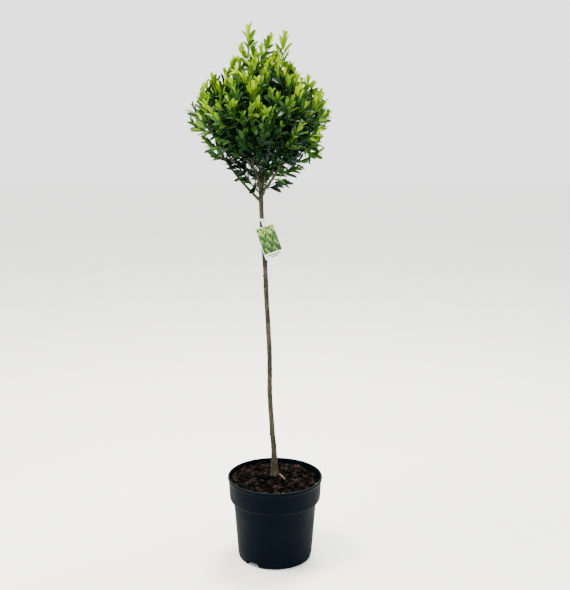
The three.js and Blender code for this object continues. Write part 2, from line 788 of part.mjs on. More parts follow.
function massSolid(mass, ends, grownLimbs) {
  const random = randomFrom(growth.seed + masses.indexOf(mass));
  const space = spaceOf(mass);
  const keepsClear = (points, margin) =>
    points.every(
      (point) =>
        depthInSpace(point, space) > growth.gap + margin && distanceToLimbs(point) > growth.limbGap + margin,
    );
  const inCore = (point) => {
    if (!mass.core) return false;
    const away = point.clone().sub(coreCentreOf(mass));
    return Math.hypot(away.x, away.y, away.z / mass.core.tall) < mass.core.radius;
  };
  const isClear = (curve) =>
    curve.getLength() > growth.shortest && keepsClear(curve.getPoints(6).slice(1), twig.end);
  const { stem, shoots } = growTwigs(mass, ends, isClear);
  const stemRadii = spread(twig.stemRadius, twig.root, stemRings + 1);
  const pieces = [solidOf(limbGeometry(framesAlong(stem.getPoints(stemRings)), stemRadii, boughSides))];
  if (mass.core) pieces.push(coreSolid(mass, space, random));
  const twigPoints = shoots.map(({ curve }) => curve.getPoints(12).filter((point) => !inCore(point)));
  const leafLines = [];
  shoots.forEach(({ curve, free }, own) => {
    const others = [...twigPoints.filter((_, i) => i !== own).flat(), ...leafLines];
    const allowed = (foot, corners) => {
      const tip = corners.at(-1);
      const line = lineOf(foot, corners);
      const reach = Math.hypot(tip.x - headAxis.x, tip.y - headAxis.y);
      return (
        !inCore(foot) &&
        !line.some(inCore) &&
        (free || reach < valueAt(headOutline, tip.z) + growth.overhang) &&
        !line.some((point) => others.some((other) => other.distanceTo(point) < growth.crowding)) &&
        keepsClear([...corners, ...line], 0)
      );
    };
    // Of a few ways to turn the twig, the one that has room for the most leaves.
    const turned = [...Array(growth.turns).keys()]
      .map((turn) => growShoot(curve, ((turn + random()) * 2 * Math.PI) / 3 / growth.turns, random, allowed))
      .reduce((a, b) => (b.lines.length > a.lines.length ? b : a));
    pieces.push(solidOf(turned.geometry));
    leafLines.push(...turned.lines);
  });
  const joined = wasm.Manifold.union(pieces);
  return largestBody(joined.subtract(grownLimbs).simplify(0.05));
}

// The hang tag: strap ring round the stem, tail and card, all one sheet.
function tagSolid() {
  const at = stemPoint(tag.height);
  const ringRadius = 5.2 + clearance + 0.3;
  const ring = solidOf(
    turned(
      [
        [ringRadius, -tag.strapWidth / 2],
        [ringRadius + tag.strapThickness, -tag.strapWidth / 2],
        [ringRadius + tag.strapThickness, tag.strapWidth / 2],
        [ringRadius, tag.strapWidth / 2],
        [ringRadius, -tag.strapWidth / 2],
      ],
      20,
    ).translate(at.x, at.y, at.z),
  );
  const { cardWidth, cardLength, cardCorner, tail, strapWidth } = tag;
  const half = cardWidth / 2;
  const sheet = new THREE.Shape();
  sheet.moveTo(-strapWidth / 2, 2);
  sheet.lineTo(-strapWidth / 2, -tail);
  sheet.lineTo(-half + cardCorner, -tail);
  sheet.quadraticCurveTo(-half, -tail, -half, -tail - cardCorner);
  sheet.lineTo(-half, -tail - cardLength + cardCorner);
  sheet.quadraticCurveTo(-half, -tail - cardLength, -half + cardCorner, -tail - cardLength);
  sheet.lineTo(half - cardCorner, -tail - cardLength);
  sheet.quadraticCurveTo(half, -tail - cardLength, half, -tail - cardLength + cardCorner);
  sheet.lineTo(half, -tail - cardCorner);
  sheet.quadraticCurveTo(half, -tail, half - cardCorner, -tail);
  sheet.lineTo(strapWidth / 2, -tail);
  sheet.lineTo(strapWidth / 2, 2);
  const card = new THREE.ExtrudeGeometry(sheet, {
    depth: tag.cardThickness,
    bevelEnabled: false,
    curveSegments: 3,
  });
  // The sheet is drawn upright, leaned in its own plane, and turned to face the front.
  card
    .rotateZ(radians(tag.lean))
    .rotateX(Math.PI / 2)
    .rotateX(radians(-1.5))
    .translate(0, -(ringRadius + tag.strapThickness * 0.4), 0)
    .rotateZ(radians(tag.turn))
    .translate(at.x, at.y, at.z);
  return ring.add(solidOf(card));
}

// The assembly.

const assembly = new THREE.Group();

function addPart(name, geometry, colour, roughness) {
  const material = new THREE.MeshStandardMaterial({ color: colour, roughness, metalness: 0 });
  const mesh = new THREE.Mesh(geometry, material);
  mesh.name = name;
  assembly.add(mesh);
}

addPart("pot", geometryOf(potSolid()), colours.pot, 0.55);
addPart("soil", geometryOf(soilSolid()), colours.soil, 0.95);
addPart("trunk", stemGeometry(), colours.stem, 0.85);

const stemSleeve = solidOf(stemGeometry(clearance + 0.1));
for (const bough of boughs) {
  const limb = largestBody(solidOf(boughGeometry(bough)).subtract(stemSleeve));
  addPart(bough.name, geometryOf(limb), colours.bough, 0.8);
}

const grownLimbs = wasm.Manifold.union([
  stemSleeve,
  ...boughs.map((bough) => solidOf(boughGeometry(bough, clearance + 0.1))),
]);
// Each shoot's end goes to the mass it lies in, and keeps a little away from the mass's bounds.
const ends = shootEnds(randomFrom(growth.seed));
for (const mass of masses) {
  const space = spaceOf(mass);
  const own = ends.filter(({ at }) => depthInSpace(at, space) > 0);
  for (const { at } of own) {
    for (const { normal, offset } of space) {
      at.addScaledVector(normal, Math.min(0, offset - normal.dot(at) - growth.seamGap));
    }
  }
  addPart(mass.name, geometryOf(massSolid(mass, own, grownLimbs)), mass.colour, 0.7);
}

addPart("hang_tag", geometryOf(tagSolid()), colours.tag, 0.5);

export default assembly;
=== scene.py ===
import json
import math

import bmesh
import bpy
import numpy as np
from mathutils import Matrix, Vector, noise

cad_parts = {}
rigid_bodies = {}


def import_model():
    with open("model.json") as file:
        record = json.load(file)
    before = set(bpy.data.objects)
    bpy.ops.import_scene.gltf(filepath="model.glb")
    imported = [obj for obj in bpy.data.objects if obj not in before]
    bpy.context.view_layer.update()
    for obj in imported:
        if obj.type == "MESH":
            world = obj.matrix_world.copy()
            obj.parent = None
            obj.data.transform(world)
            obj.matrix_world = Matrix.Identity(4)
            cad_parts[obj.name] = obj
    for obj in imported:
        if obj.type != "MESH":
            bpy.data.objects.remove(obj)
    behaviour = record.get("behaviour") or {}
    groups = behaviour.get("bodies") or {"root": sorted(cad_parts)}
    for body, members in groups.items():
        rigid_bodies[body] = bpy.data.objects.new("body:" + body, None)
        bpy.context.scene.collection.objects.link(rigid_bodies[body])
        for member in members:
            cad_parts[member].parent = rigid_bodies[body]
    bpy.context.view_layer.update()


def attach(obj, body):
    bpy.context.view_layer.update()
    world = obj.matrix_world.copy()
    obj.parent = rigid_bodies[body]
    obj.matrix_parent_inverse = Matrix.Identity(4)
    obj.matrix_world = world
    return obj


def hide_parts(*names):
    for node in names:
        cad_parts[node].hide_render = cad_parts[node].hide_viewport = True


# A potted standard shrub: nursery pot, bark mulch, one clear stem and a leafy head.
# Sizes are in millimetres and become metres where a mesh is made.

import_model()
mm = 0.001


def toLinear(hexColour):
    values = [int(hexColour[i:i + 2], 16) / 255 for i in (1, 3, 5)]
    return tuple(v / 12.92 if v <= 0.04045 else ((v + 0.055) / 1.055) ** 2.4 for v in values) + (1.0,)


def addNode(tree, kind, settings=None, inputs=None, links=None, into=None):
    # links lead into the node, into leads out of it; a colour ramp's "stops" are positions and colours
    node = tree.nodes.new(kind)
    for name, value in (settings or {}).items():
        if name != "stops":
            setattr(node, name, value)
            continue
        elements = node.color_ramp.elements
        while len(elements) < len(value):
            elements.new(0.5)
        for element, (position, colour) in zip(elements, value):
            element.position = position
            element.color = toLinear(colour)
    for name, value in (inputs or {}).items():
        node.inputs[name].default_value = value
    for name, socket in (links or {}).items():
        tree.links.new(socket, node.inputs[name])
    for name, socket in (into or {}).items():
        tree.links.new(node.outputs[name], socket)
    return node


def newMaterial(name, colour, roughness, ior=1.5, gloss=0.5):
    material = bpy.data.materials.new(name)
    material.use_nodes = True
    shader = material.node_tree.nodes["Principled BSDF"]
    shader.inputs["Base Color"].default_value = toLinear(colour)
    shader.inputs["Roughness"].default_value = roughness
    shader.inputs["IOR"].default_value = ior
    shader.inputs["Specular IOR Level"].default_value = gloss
    return material, material.node_tree, shader


def newObject(name, data):
    thing = bpy.data.objects.new(name, data)
    bpy.context.scene.collection.objects.link(thing)
    return thing


def meshPiece(name, points, faces, materials, faceMaterials=None, smooth=True):
    mesh = bpy.data.meshes.new(name)
    mesh.from_pydata((np.asarray(points, float) * mm).tolist(), [], faces)
    for material in materials:
        mesh.materials.append(material)
    if faceMaterials is not None:
        mesh.polygons.foreach_set("material_index", np.asarray(faceMaterials, np.int32))
    mesh.polygons.foreach_set("use_smooth", np.full(len(mesh.polygons), smooth))
    mesh.validate()
    mesh.update()
    return newObject(name, mesh)


def settle(piece, slotName, *nodes):
    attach(piece, "root")
    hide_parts(*nodes)


def applied(piece):
    # the piece's live modifiers turned into a plain mesh
    graph = bpy.context.evaluated_depsgraph_get()
    mesh = bpy.data.meshes.new_from_object(piece.evaluated_get(graph))
    piece.modifiers.clear()
    piece.data = mesh


def reworked(piece, change):
    # the piece's mesh opened for change(), which edits it
    work = bmesh.new()
    work.from_mesh(piece.data)
    change(work)
    work.to_mesh(piece.data)
    work.free()


def patterned(tree, shader, size, detail, alongZ=1, stops=None, roughness=None, relief=None):
    # noise with lumps of about size millimetres, scaled alongZ, which can drive the colour by a ramp's stops,
    # the roughness between two values, and the relief by a strength and a depth in millimetres
    place = addNode(tree, "ShaderNodeTexCoord").outputs["Object"]
    if alongZ != 1:
        scaled = addNode(tree, "ShaderNodeMapping", inputs={"Scale": (1, 1, alongZ)}, links={"Vector": place})
        place = scaled.outputs[0]
    values = {"Scale": 1000 / size, "Detail": detail}
    lumps = addNode(tree, "ShaderNodeTexNoise", inputs=values, links={"Vector": place}).outputs["Fac"]
    if stops:
        base = {"Color": shader.inputs["Base Color"]}
        addNode(tree, "ShaderNodeValToRGB", {"stops": stops}, links={"Fac": lumps}, into=base)
    if roughness:
        values = {"From Min": 0.3, "From Max": 0.7, "To Min": roughness[0], "To Max": roughness[1]}
        skin = {"Result": shader.inputs["Roughness"]}
        addNode(tree, "ShaderNodeMapRange", inputs=values, links={"Value": lumps}, into=skin)
    if relief:
        values = {"Strength": relief[0], "Distance": relief[1] * mm}
        normal = {"Normal": shader.inputs["Normal"]}
        addNode(tree, "ShaderNodeBump", inputs=values, links={"Height": lumps}, into=normal)
    return lumps


def clamped(value, least=0):
    return min(max(value, least), 1)


def turned(a, b, angle):
    # two directions at right angles, or a point's two measures, turned together
    return a * math.cos(angle) + b * math.sin(angle), b * math.cos(angle) - a * math.sin(angle)


def bandFaces(low, high):
    # the faces between two rings of corners, without the corners that a pole doubles
    faces = []
    for k in range(len(low)):
        n = (k + 1) % len(low)
        face = [low[k], low[n], high[n], high[k]]
        face = [v for i, v in enumerate(face) if v != face[i - 1]]
        if len(face) > 2:
            faces.append(face)
    return faces


def plateFaces(first, count):
    # a plate between two outlines of count corners, the near one first: both sides, then the edge
    near = list(range(first, first + count))
    far = [corner + count for corner in near]
    return [near[::-1], far] + bandFaces(near, far)


def addTo(corners, faces, part):
    # another part on the end of these corners and faces
    own, ownFaces = part
    faces += [tuple(v + len(corners) for v in face) for face in ownFaces]
    corners += own


def lathe(profile, segments, closed=False):
    # points and faces of a profile of (radius, height) turned round Z; a radius of 0 becomes one pole
    points, rings, faces = [], [], []
    for radius, height in profile:
        if radius < 1e-6:
            rings.append([len(points)] * segments)
            points.append((0, 0, height))
            continue
        rings.append([len(points) + k for k in range(segments)])
        for k in range(segments):
            angle = 2 * math.pi * k / segments
            points.append((radius * math.cos(angle), radius * math.sin(angle), height))
    pairs = list(zip(rings, rings[1:])) + ([(rings[-1], rings[0])] if closed else [])
    for low, high in pairs:
        faces += bandFaces(low, high)
    return points, faces


def rounded(corners, radius, steps=4):
    # a profile whose inner corners are rounded off by about radius
    result = [corners[0]]
    for before, corner, after in zip(corners, corners[1:], corners[2:]):
        a, b, c = (np.array(p, float) for p in (before, corner, after))
        cut = min(radius, 0.45 * np.linalg.norm(a - b), 0.45 * np.linalg.norm(c - b))
        start = b + (a - b) / max(np.linalg.norm(a - b), 1e-9) * cut
        end = b + (c - b) / max(np.linalg.norm(c - b), 1e-9) * cut
        for t in np.linspace(0, 1, steps):
            result.append(tuple((1 - t) ** 2 * start + 2 * t * (1 - t) * b + t * t * end))
    return result + [corners[-1]]


cameraSettings = {
    "place": (0.0, -2.3814, 1.2057),
    "pitch": 12.387,   # degrees down
    "lens": 61.02,     # mm, on 36 mm over the picture's height
    "shiftX": 0.01695,
}

camera = bpy.data.cameras.new("camera")
camera.sensor_fit = "VERTICAL"
camera.sensor_height = 36
camera.lens = cameraSettings["lens"]
camera.shift_x = cameraSettings["shiftX"]
camera.clip_end = 60
cameraObject = newObject("camera", camera)
cameraObject.location = cameraSettings["place"]
cameraObject.rotation_euler = (math.radians(90 - cameraSettings["pitch"]), 0, 0)
bpy.context.scene.camera = cameraObject

lightSettings = {
    "sky": {"colour": "#fbfcfd", "strength": 2.5},
    "lamps": [
        # name, place, aim, size, power, colour
        ("keyLamp", (-1.3, -0.3, 3.0), (0, 0, 1.1), 1.0, 170, "#fffaf0"),
        ("topLamp", (0.4, 0.8, 3.1), (0, 0, 1.15), 1.1, 215, "#fffdf4"),
        ("fillLamp", (1.7, -1.6, 1.4), (0, 0, 0.7), 1.6, 10, "#eef4ff"),
    ],
}

world = bpy.data.worlds.new("softSky")
world.use_nodes = True
sky = world.node_tree.nodes["Background"]
sky.inputs["Color"].default_value = toLinear(lightSettings["sky"]["colour"])
sky.inputs["Strength"].default_value = lightSettings["sky"]["strength"]
bpy.context.scene.world = world

for lampName, place, aim, size, power, colour in lightSettings["lamps"]:
    lamp = bpy.data.lights.new(lampName, "AREA")
    lamp.size = size
    lamp.energy = power
    lamp.color = toLinear(colour)[:3]
    lampObject = newObject(lampName, lamp)
    lampObject.location = place
    lampObject.rotation_euler = (Vector(aim) - Vector(place)).to_track_quat("-Z", "Y").to_euler()

far = 9000   # mm from the middle to the floor's edges
floorCorners = [(-far, -far, 0), (far, -far, 0), (far, far, 0), (-far, far, 0)]
floor = meshPiece("floor", floorCorners, [(0, 1, 2, 3)], [newMaterial("paleFloorPaint", "#f3f2ef", 0.75)[0]])
print("stage: camera, lights and floor")


pot = {
    "height": 215,
    "rimRadius": 120,
    "collarRadius": 116,
    "collarHeight": 50,
    "shoulderDrop": 14,
    "bodyRadius": 105,
    "baseRadius": 94.5,
    "footRadius": 90.5,
    "footRound": 9,
    "wall": 2,
    "lipDrop": 12,
    "rimWidth": 4,
    "innerFloor": 120,    # hidden under the filling
    "rounding": 1.6,
    "sharpAngle": 32,
    "segments": 144,
}
channel = {
    "count": 3,
    "firstAngle": -128,
    "footWidth": 38,
    "crownWidth": 30,
    "height": 12,
    "knee": 0.55,         # share of the height where it starts to narrow
    "innerEnd": 74,
}

# black recycled polypropylene: near-black with a cold cast, a dull satin skin, cloudy from handling
potMaterial, tree, shader = newMaterial("mouldedPolypropylene", "#010407", 0.65, 1.49, gloss=0.045)
shader.inputs["Specular Tint"].default_value = toLinear("#a4d4ff")
stops = [(0.3, "#000204"), (0.55, "#010407"), (0.75, "#03080e")]
patterned(tree, shader, 55, 4, stops=stops, roughness=(0.55, 0.75))
# the mould's spark-eroded grain, drawn at 1.6 mm because the real 0.2 mm wouldn't show
patterned(tree, shader, 1.6, 2, relief=(0.25, 0.25))

# the rim's top, painted paler as a highlight where it faces the light from above
rimHighlightMaterial = newMaterial("rimPaintedHighlight", "#0a0f12", 0.5, 1.49, gloss=0.05)[0]


def joined(work):
    bmesh.ops.remove_doubles(work, verts=work.verts, dist=1e-6)
    bmesh.ops.recalc_face_normals(work, faces=work.faces)


def makePot():
    foot, base, body = (pot[part + "Radius"] for part in ("foot", "base", "body"))
    collar, rim = pot["collarRadius"], pot["rimRadius"]
    top, wall = pot["height"], pot["wall"]
    collarFoot, lip = top - pot["collarHeight"], top - pot["lipDrop"]
    shoulder = collarFoot - pot["shoulderDrop"]
    outside = [
        (0, 0),
        (foot - 3, 0),
        (foot, 0.6),
        (base - 1, pot["footRound"] * 0.45),
        (base, pot["footRound"]),
        (body, shoulder),
        (collar - 8.5, shoulder + 1.5),
        (collar - 3.5, collarFoot - 11),
        (collar - 1, collarFoot - 6),
        (collar - 0.5, collarFoot),
        (collar + 1.5, lip),
        (rim - 0.2, top - 6),
        (rim, top - 3),
        (rim - 0.8, top),
    ]
    inside = [
        (rim - pot["rimWidth"], top),
        (collar - wall + 1.5, lip),
        (collar - wall - 0.5, collarFoot),
        (body - wall, shoulder),
        (body - wall - 3, pot["innerFloor"]),
        (0, pot["innerFloor"]),
    ]
    points, faces = lathe(rounded(outside + inside, pot["rounding"]), pot["segments"])
    shell = meshPiece("nurseryPot", points, faces, [potMaterial, rimHighlightMaterial])
    half, crown, height = channel["footWidth"] / 2, channel["crownWidth"] / 2, channel["height"]
    knee = height * channel["knee"]
    section = [(-half, -4), (half, -4), (half, knee), (crown, height), (-crown, height), (-half, knee)]
    cutPoints, cutFaces = [], []
    for index in range(channel["count"]):
        angle = math.radians(channel["firstAngle"] + 360 / channel["count"] * index)
        out = np.array([math.cos(angle), math.sin(angle), 0])
        side = np.array([-math.sin(angle), math.cos(angle), 0])
        cutFaces += plateFaces(len(cutPoints), len(section))
        for reach in (channel["innerEnd"], rim):
            cutPoints += [out * reach + side * across + np.array([0, 0, up]) for across, up in section]
    cutter = meshPiece("slotCutter", cutPoints, cutFaces, [potMaterial], smooth=False)
    reworked(shell, joined)
    reworked(cutter, joined)
    cut = shell.modifiers.new("slots", "BOOLEAN")
    cut.operation = "DIFFERENCE"
    cut.solver = "EXACT"
    cut.object = cutter
    applied(shell)
    bpy.data.objects.remove(cutter)
    for polygon in shell.data.polygons:
        polygon.use_smooth = True
        # the faces of the rim's top take the second material, the painted highlight
        if polygon.center.z > (top - 0.6) * mm:
            polygon.material_index = 1
    shell.data.set_sharp_from_angle(angle=math.radians(pot["sharpAngle"]))
    settle(shell, "pot_plastic", "pot")


makePot()
print("pot: shell with drainage slots")


soil = {
    "edgeHeight": 202,
    "moundHeight": 209,
    "seatRadius": 17,
    "edgeRadius": 113.2,
    "heap": 3.2,          # how far the bark rises round the stem's foot, at heapReach from its middle
    "heapReach": 14,
    "heapWidth": 10,
    "tilt": 2.6,          # how much higher it lies to the back and the left
    "tiltReach": 110,
    "lumps": [(22, 2.2, 0), (7, 1.2, 5)],   # width, height and layer of noise
    "smoothRadius": 10,   # without lumps by the stem, up to here
    "bedding": 1.2,       # the bed's surface under the tops of the chips
    "floorRadius": 100,   # the bed's underside, well inside the pot
    "floorHeight": 150,
    "topDepth": 12,       # what lies deeper than this below the edge isn't the bed's top
    "chipRadius": 114.5,  # no chip reaches further out, or nearer to the stem's middle than chipGap
    "chipGap": 10.5,
    "rings": 40,
    "segments": 120,
}
chips = {
    "dark": {"seed": 3, "density": 8800, "length": 23, "width": 10.5, "thickness": 5},
    "red": {"seed": 8, "density": 1900, "length": 23, "width": 10, "thickness": 4.8},
    "tan": {"seed": 21, "density": 110, "length": 17, "width": 7, "thickness": 2.6},
}
chipGrid = {"Vertices X": 4, "Vertices Y": 3, "Vertices Z": 2}   # corners of one chip
stemFoot = (-2.0, 12.0)

# damp composted bark: nearly black crumbs with brown fibres
compostMaterial, tree, shader = newMaterial("compostedBark", "#030202", 0.9, gloss=0.02)
stops = [(0.3, "#010000"), (0.55, "#030202"), (0.75, "#080504")]
patterned(tree, shader, 3, 4, stops=stops, relief=(0.8, 1.5))


def chipMaterial(name, stops):
    # pine bark broken into plates: layered, fibrous along its length, matt barely damp
    material, tree, shader = newMaterial(name, stops[1][1], 0.75, gloss=0.018)
    layers = patterned(tree, shader, 2.2, 4, alongZ=3.2, relief=(0.7, 0.7))
    blotches = patterned(tree, shader, 15, 2)
    mixed = addNode(tree, "ShaderNodeMix", {"data_type": "FLOAT"}, {0: 0.55}, {2: layers, 3: blotches})
    base = {"Color": shader.inputs["Base Color"]}
    addNode(tree, "ShaderNodeValToRGB", {"stops": stops}, links={"Fac": mixed.outputs[0]}, into=base)
    return material


chipMaterials = {
    "dark": chipMaterial("pineBarkDark", [(0.43, "#000000"), (0.53, "#040302"), (0.62, "#2a211c")]),
    "red": chipMaterial("pineBarkRed", [(0.41, "#010000"), (0.51, "#0b0605"), (0.62, "#32211b")]),
    "tan": chipMaterial("splitWoodFlake", [(0.36, "#2c241b"), (0.5, "#584a39"), (0.66, "#96856a")]),
}


def soilHeight(x, y):
    away = math.hypot(x - stemFoot[0], y - stemFoot[1])
    share = clamped((away - soil["seatRadius"]) / (pot["collarRadius"] - soil["seatRadius"]))
    height = soil["moundHeight"] - (soil["moundHeight"] - soil["edgeHeight"]) * math.sqrt(share)
    lumps = sum(noise.noise(Vector((x, y, layer)) / width) * high for width, high, layer in soil["lumps"])
    heap = soil["heap"] * math.exp(-(((away - soil["heapReach"]) / soil["heapWidth"]) ** 2))
    tilt = clamped((-x + 0.6 * y) / soil["tiltReach"], -1) * soil["tilt"]
    return height + (lumps + tilt) * clamped((away - soil["smoothRadius"]) / 20) - soil["bedding"] + heap


def makeBed():
    rings, segments = soil["rings"], soil["segments"]
    angles = [2 * math.pi * k / segments for k in range(segments)]
    circle = [(math.cos(angle), math.sin(angle)) for angle in angles]
    points = [(0, 0, soilHeight(0, 0))]
    for ring in range(1, rings + 1):
        reach = soil["edgeRadius"] * ring / rings
        points += [(reach * x, reach * y, soilHeight(reach * x, reach * y)) for x, y in circle]
    points += [(soil["floorRadius"] * x, soil["floorRadius"] * y, soil["floorHeight"]) for x, y in circle]
    faces = [[0, 1 + k, 1 + (k + 1) % segments] for k in range(segments)]
    for ring in range(rings):   # the last one is the side
        a, b = 1 + ring * segments, 1 + (ring + 1) * segments
        for k in range(segments):
            n = (k + 1) % segments
            faces.append([a + k, b + k, b + n, a + n])
    faces.append([1 + rings * segments + k for k in reversed(range(segments))])
    return meshPiece("compostBed", points, faces, [compostMaterial])


def chipTree():
    # plates scattered over the top of the bed, each knocked out of shape by noise
    tree = bpy.data.node_groups.new("barkChipScatter", "GeometryNodeTree")
    sockets = [("Geometry", "Geometry"), ("Density", "Float"), ("Seed", "Int"), ("Size", "Vector")]
    for name, kind in sockets + [("Material", "Material")]:
        tree.interface.new_socket(name, in_out="INPUT", socket_type="NodeSocket" + kind)
    tree.interface.new_socket("Geometry", in_out="OUTPUT", socket_type="NodeSocketGeometry")
    given = addNode(tree, "NodeGroupInput").outputs
    position = addNode(tree, "GeometryNodeInputPosition").outputs[0]
    top = {"Mesh": given["Geometry"], "Density": given["Density"], "Seed": given["Seed"]}
    scatter = addNode(tree, "GeometryNodeDistributePointsOnFaces", links=top).outputs["Points"]
    block = addNode(tree, "GeometryNodeMeshCube", None, chipGrid, {"Size": given["Size"]}).outputs["Mesh"]
    turns = {0: (-0.55, -0.5, 0.0), 1: (0.55, 0.5, 6.283)}
    sizes = {0: (0.45, 0.5, 0.6), 1: (1.15, 1.2, 1.4)}
    turn, grow = (
        addNode(tree, "FunctionNodeRandomValue", {"data_type": "FLOAT_VECTOR"}, span, {"Seed": given["Seed"]})
        for span in (turns, sizes)
    )
    each = {"Points": scatter, "Instance": block, "Rotation": turn.outputs[0], "Scale": grow.outputs[0]}
    placed = addNode(tree, "GeometryNodeInstanceOnPoints", links=each).outputs["Instances"]
    real = addNode(tree, "GeometryNodeRealizeInstances", links={"Geometry": placed}).outputs[0]
    # dents about 6 mm wide push the corners of the chips to and fro
    coarse, half, depth = {"Scale": 1000 / 6.25, "Detail": 1.0}, {1: (0.5, 0.5, 0.5)}, {"Scale": 8.5 * mm}
    rough = addNode(tree, "ShaderNodeTexNoise", None, coarse, {"Vector": position}).outputs["Color"]
    centred = addNode(tree, "ShaderNodeVectorMath", {"operation": "SUBTRACT"}, half, {0: rough}).outputs[0]
    push = addNode(tree, "ShaderNodeVectorMath", {"operation": "SCALE"}, depth, {0: centred}).outputs[0]
    shifted = {"Geometry": real, "Offset": push}
    moved = addNode(tree, "GeometryNodeSetPosition", links=shifted).outputs[0]
    sharp = {"Shade Smooth": False}
    flat = addNode(tree, "GeometryNodeSetShadeSmooth", None, sharp, {"Geometry": moved}).outputs[0]
    dressed = {"Geometry": flat, "Material": given["Material"]}
    painted = addNode(tree, "GeometryNodeSetMaterial", links=dressed).outputs[0]
    addNode(tree, "NodeGroupOutput", links={"Geometry": painted})
    return tree


def topOnly(work):
    # chips lie on the bed's top alone
    low = [vertex for vertex in work.verts if vertex.co.z < (soil["edgeHeight"] - soil["topDepth"]) * mm]
    bmesh.ops.delete(work, geom=low, context="VERTS")


def clearOnly(work):
    # chips that lie in the stem or through the pot's wall are left out, each with all the corners of its grid
    corners, each, dropped = list(work.verts), math.prod(chipGrid.values()), []
    for first in range(0, len(corners), each):
        chip = corners[first:first + each]
        reach = max(math.hypot(v.co.x, v.co.y) for v in chip)
        near = min(math.hypot(v.co.x - stemFoot[0] * mm, v.co.y - stemFoot[1] * mm) for v in chip)
        if reach > soil["chipRadius"] * mm or near < soil["chipGap"] * mm:
            dropped += chip
    bmesh.ops.delete(work, geom=dropped, context="VERTS")


def makeChips(bed):
    tree = chipTree()
    sockets = {item.name: item.identifier for item in tree.interface.items_tree if item.in_out == "INPUT"}
    for kind, values in chips.items():
        piece = newObject("barkChips_" + kind, bed.data.copy())
        reworked(piece, topOnly)
        modifier = piece.modifiers.new("scatter", "NODES")
        modifier.node_group = tree
        modifier[sockets["Density"]] = float(values["density"])
        modifier[sockets["Seed"]] = values["seed"]
        modifier[sockets["Size"]] = [values[key] * mm for key in ("length", "width", "thickness")]
        modifier[sockets["Material"]] = chipMaterials[kind]
        applied(piece)
        reworked(piece, clearOnly)
        settle(piece, "bark_mulch", "soil")
        print("filling:", kind, "bark chips,", len(piece.data.polygons), "faces")


bed = makeBed()
makeChips(bed)
settle(bed, "bark_mulch", "soil")
print("filling: bed")


# The stem, from its foot on the filling to its tip in the head: x, y, z, radius.
stem = {
    "route": [
        (-1.6, 12, 209.3, 10.4), (-1.8, 12, 218, 9), (-2.2, 12, 235, 8.1), (-2.4, 12, 255, 7.6),
        (-3.2, 12, 273, 6.5), (-7.1, 11, 326, 5.9), (-9.4, 10, 376, 5.7), (-12.7, 8, 435, 5.6),
        (-14.5, 6, 540, 5.5), (-17, 4, 624, 5.4), (-21.5, 3, 690, 5.3), (-25.4, 2, 764, 5.2),
        (-29.5, 1, 835, 5.1), (-33, 0, 915, 5), (-35, 0, 985, 4.6), (-36, 0, 1045, 3.9),
        (-38, 1, 1110, 3.2), (-37, 0, 1174, 2.4),
    ],
    "firstInHead": 12,    # the first point of the route that leaves can come near
    "sides": 36,
    "ringEvery": 2.2,
    "flareLobes": 5,
    "flareDepth": 0.2,
    "flareHeight": 26,
    "bark": 0.5,          # over the bare wood
    "relief": 0.42,       # height of the bark's ridges
    "nodeEvery": 52,      # between the old leaf joints
    "nodeSwell": 0.35,
    "knots": 17,          # healed stubs of side shoots
    "knotHeight": 2.2,
    "knotsBetween": (60, 890),   # from so far above its foot up to this height
    "seed": 5,
}
head = {
    "axis": (-36.0, 0.0),
    "middle": 1095,
    "outline": [
        (905, 10), (940, 34), (965, 62), (990, 88), (1015, 114), (1040, 138), (1105, 166), (1130, 166),
        (1165, 154), (1200, 124), (1222, 92), (1240, 56), (1252, 18),
    ],
    "inset": (11, 52),    # from the outline to a shoot's end, for the leaves past it
    "overhang": 17,
    "shells": [           # share of the head's size, number of shoots
        (1.0, 270),
        (0.82, 175),
        (0.6, 110),
        (0.34, 40),
    ],
    "density": [(905, 0.85), (1000, 0.75), (1060, 0.95), (1190, 1), (1235, 0.7)],
    "rise": [(920, 8), (1000, 34), (1060, 52), (1120, 64), (1180, 74), (1250, 86)],
    "lift": [(920, -0.7), (1010, -0.4), (1080, 0), (1180, 0.2)],
    "longShoots": [       # the highest leaf tips, on shoots that stand well clear
        (-64, -8, 1326), (-80, 12, 1284), (-13, 6, 1303), (26, -4, 1307),
        (-54, 58, 1292), (-30, -62, 1280), (10, 66, 1276),
    ],
    "sprays": [           # the furthest leaf tips round the sides of the head
        (-206, 5, 1117), (-180, -12, 1164), (-178, 10, 1069), (-152, 8, 1204), (-123, -10, 1226),
        (-107, 16, 1252), (-87, -22, 1247), (-156, -8, 1026), (133, -6, 1128), (124, 14, 1098),
        (115, -12, 1071), (118, 6, 1037), (113, -16, 1168), (97, 12, 1193), (52, -22, 1216),
        (41, 18, 1238), (-39, -34, 1260), (10, -28, 1247), (88, 10, 1016), (66, -6, 992),
        (40, -14, 962), (17, 16, 948), (-8, -12, 926), (-62, -14, 924), (-94, -8, 962),
    ],
    "turnedAbove": 1190,  # sprays above this stand at the front and back as well
    "turnedBelow": 970,
    "sprayLean": 14,      # degrees that the sprays lean out more than the other shoots
    "sprayOverhang": 5,
    "bareFront": (990, 9),   # the clear stem shows up to here, over this half width
    "frontSprays": [      # bright tips low on the front, and turned by half round, on the back
        (-99, -143, 1157), (-40, -158, 1157), (-60, -160, 1126), (-24, -161, 1123), (44, -118, 1073),
        (-73, -146, 1093), (-92, -66, 1230), (-74, -86, 1213), (-108, -62, 1202), (60, -92, 1186),
    ],
    "seed": 7,
}
boughs = {
    "startRadius": 3.3,
    "tipRadius": 2.4,
    "routes": [           # node, height where it leaves the stem, angle, reach and height of its tip
        ("bough_left", 911, 189, 100, 1042),
        ("bough_front_left", 950, 252, 76, 1040),
        ("bough_front_right", 928, 318, 84, 1034),
        ("bough_right", 958, 12, 80, 1040),
        ("bough_back_right", 938, 72, 80, 1038),
        ("bough_back_left", 966, 132, 78, 1042),
    ],
}
sides = ("left", "front_left", "front_right", "right", "back_right", "back_left")
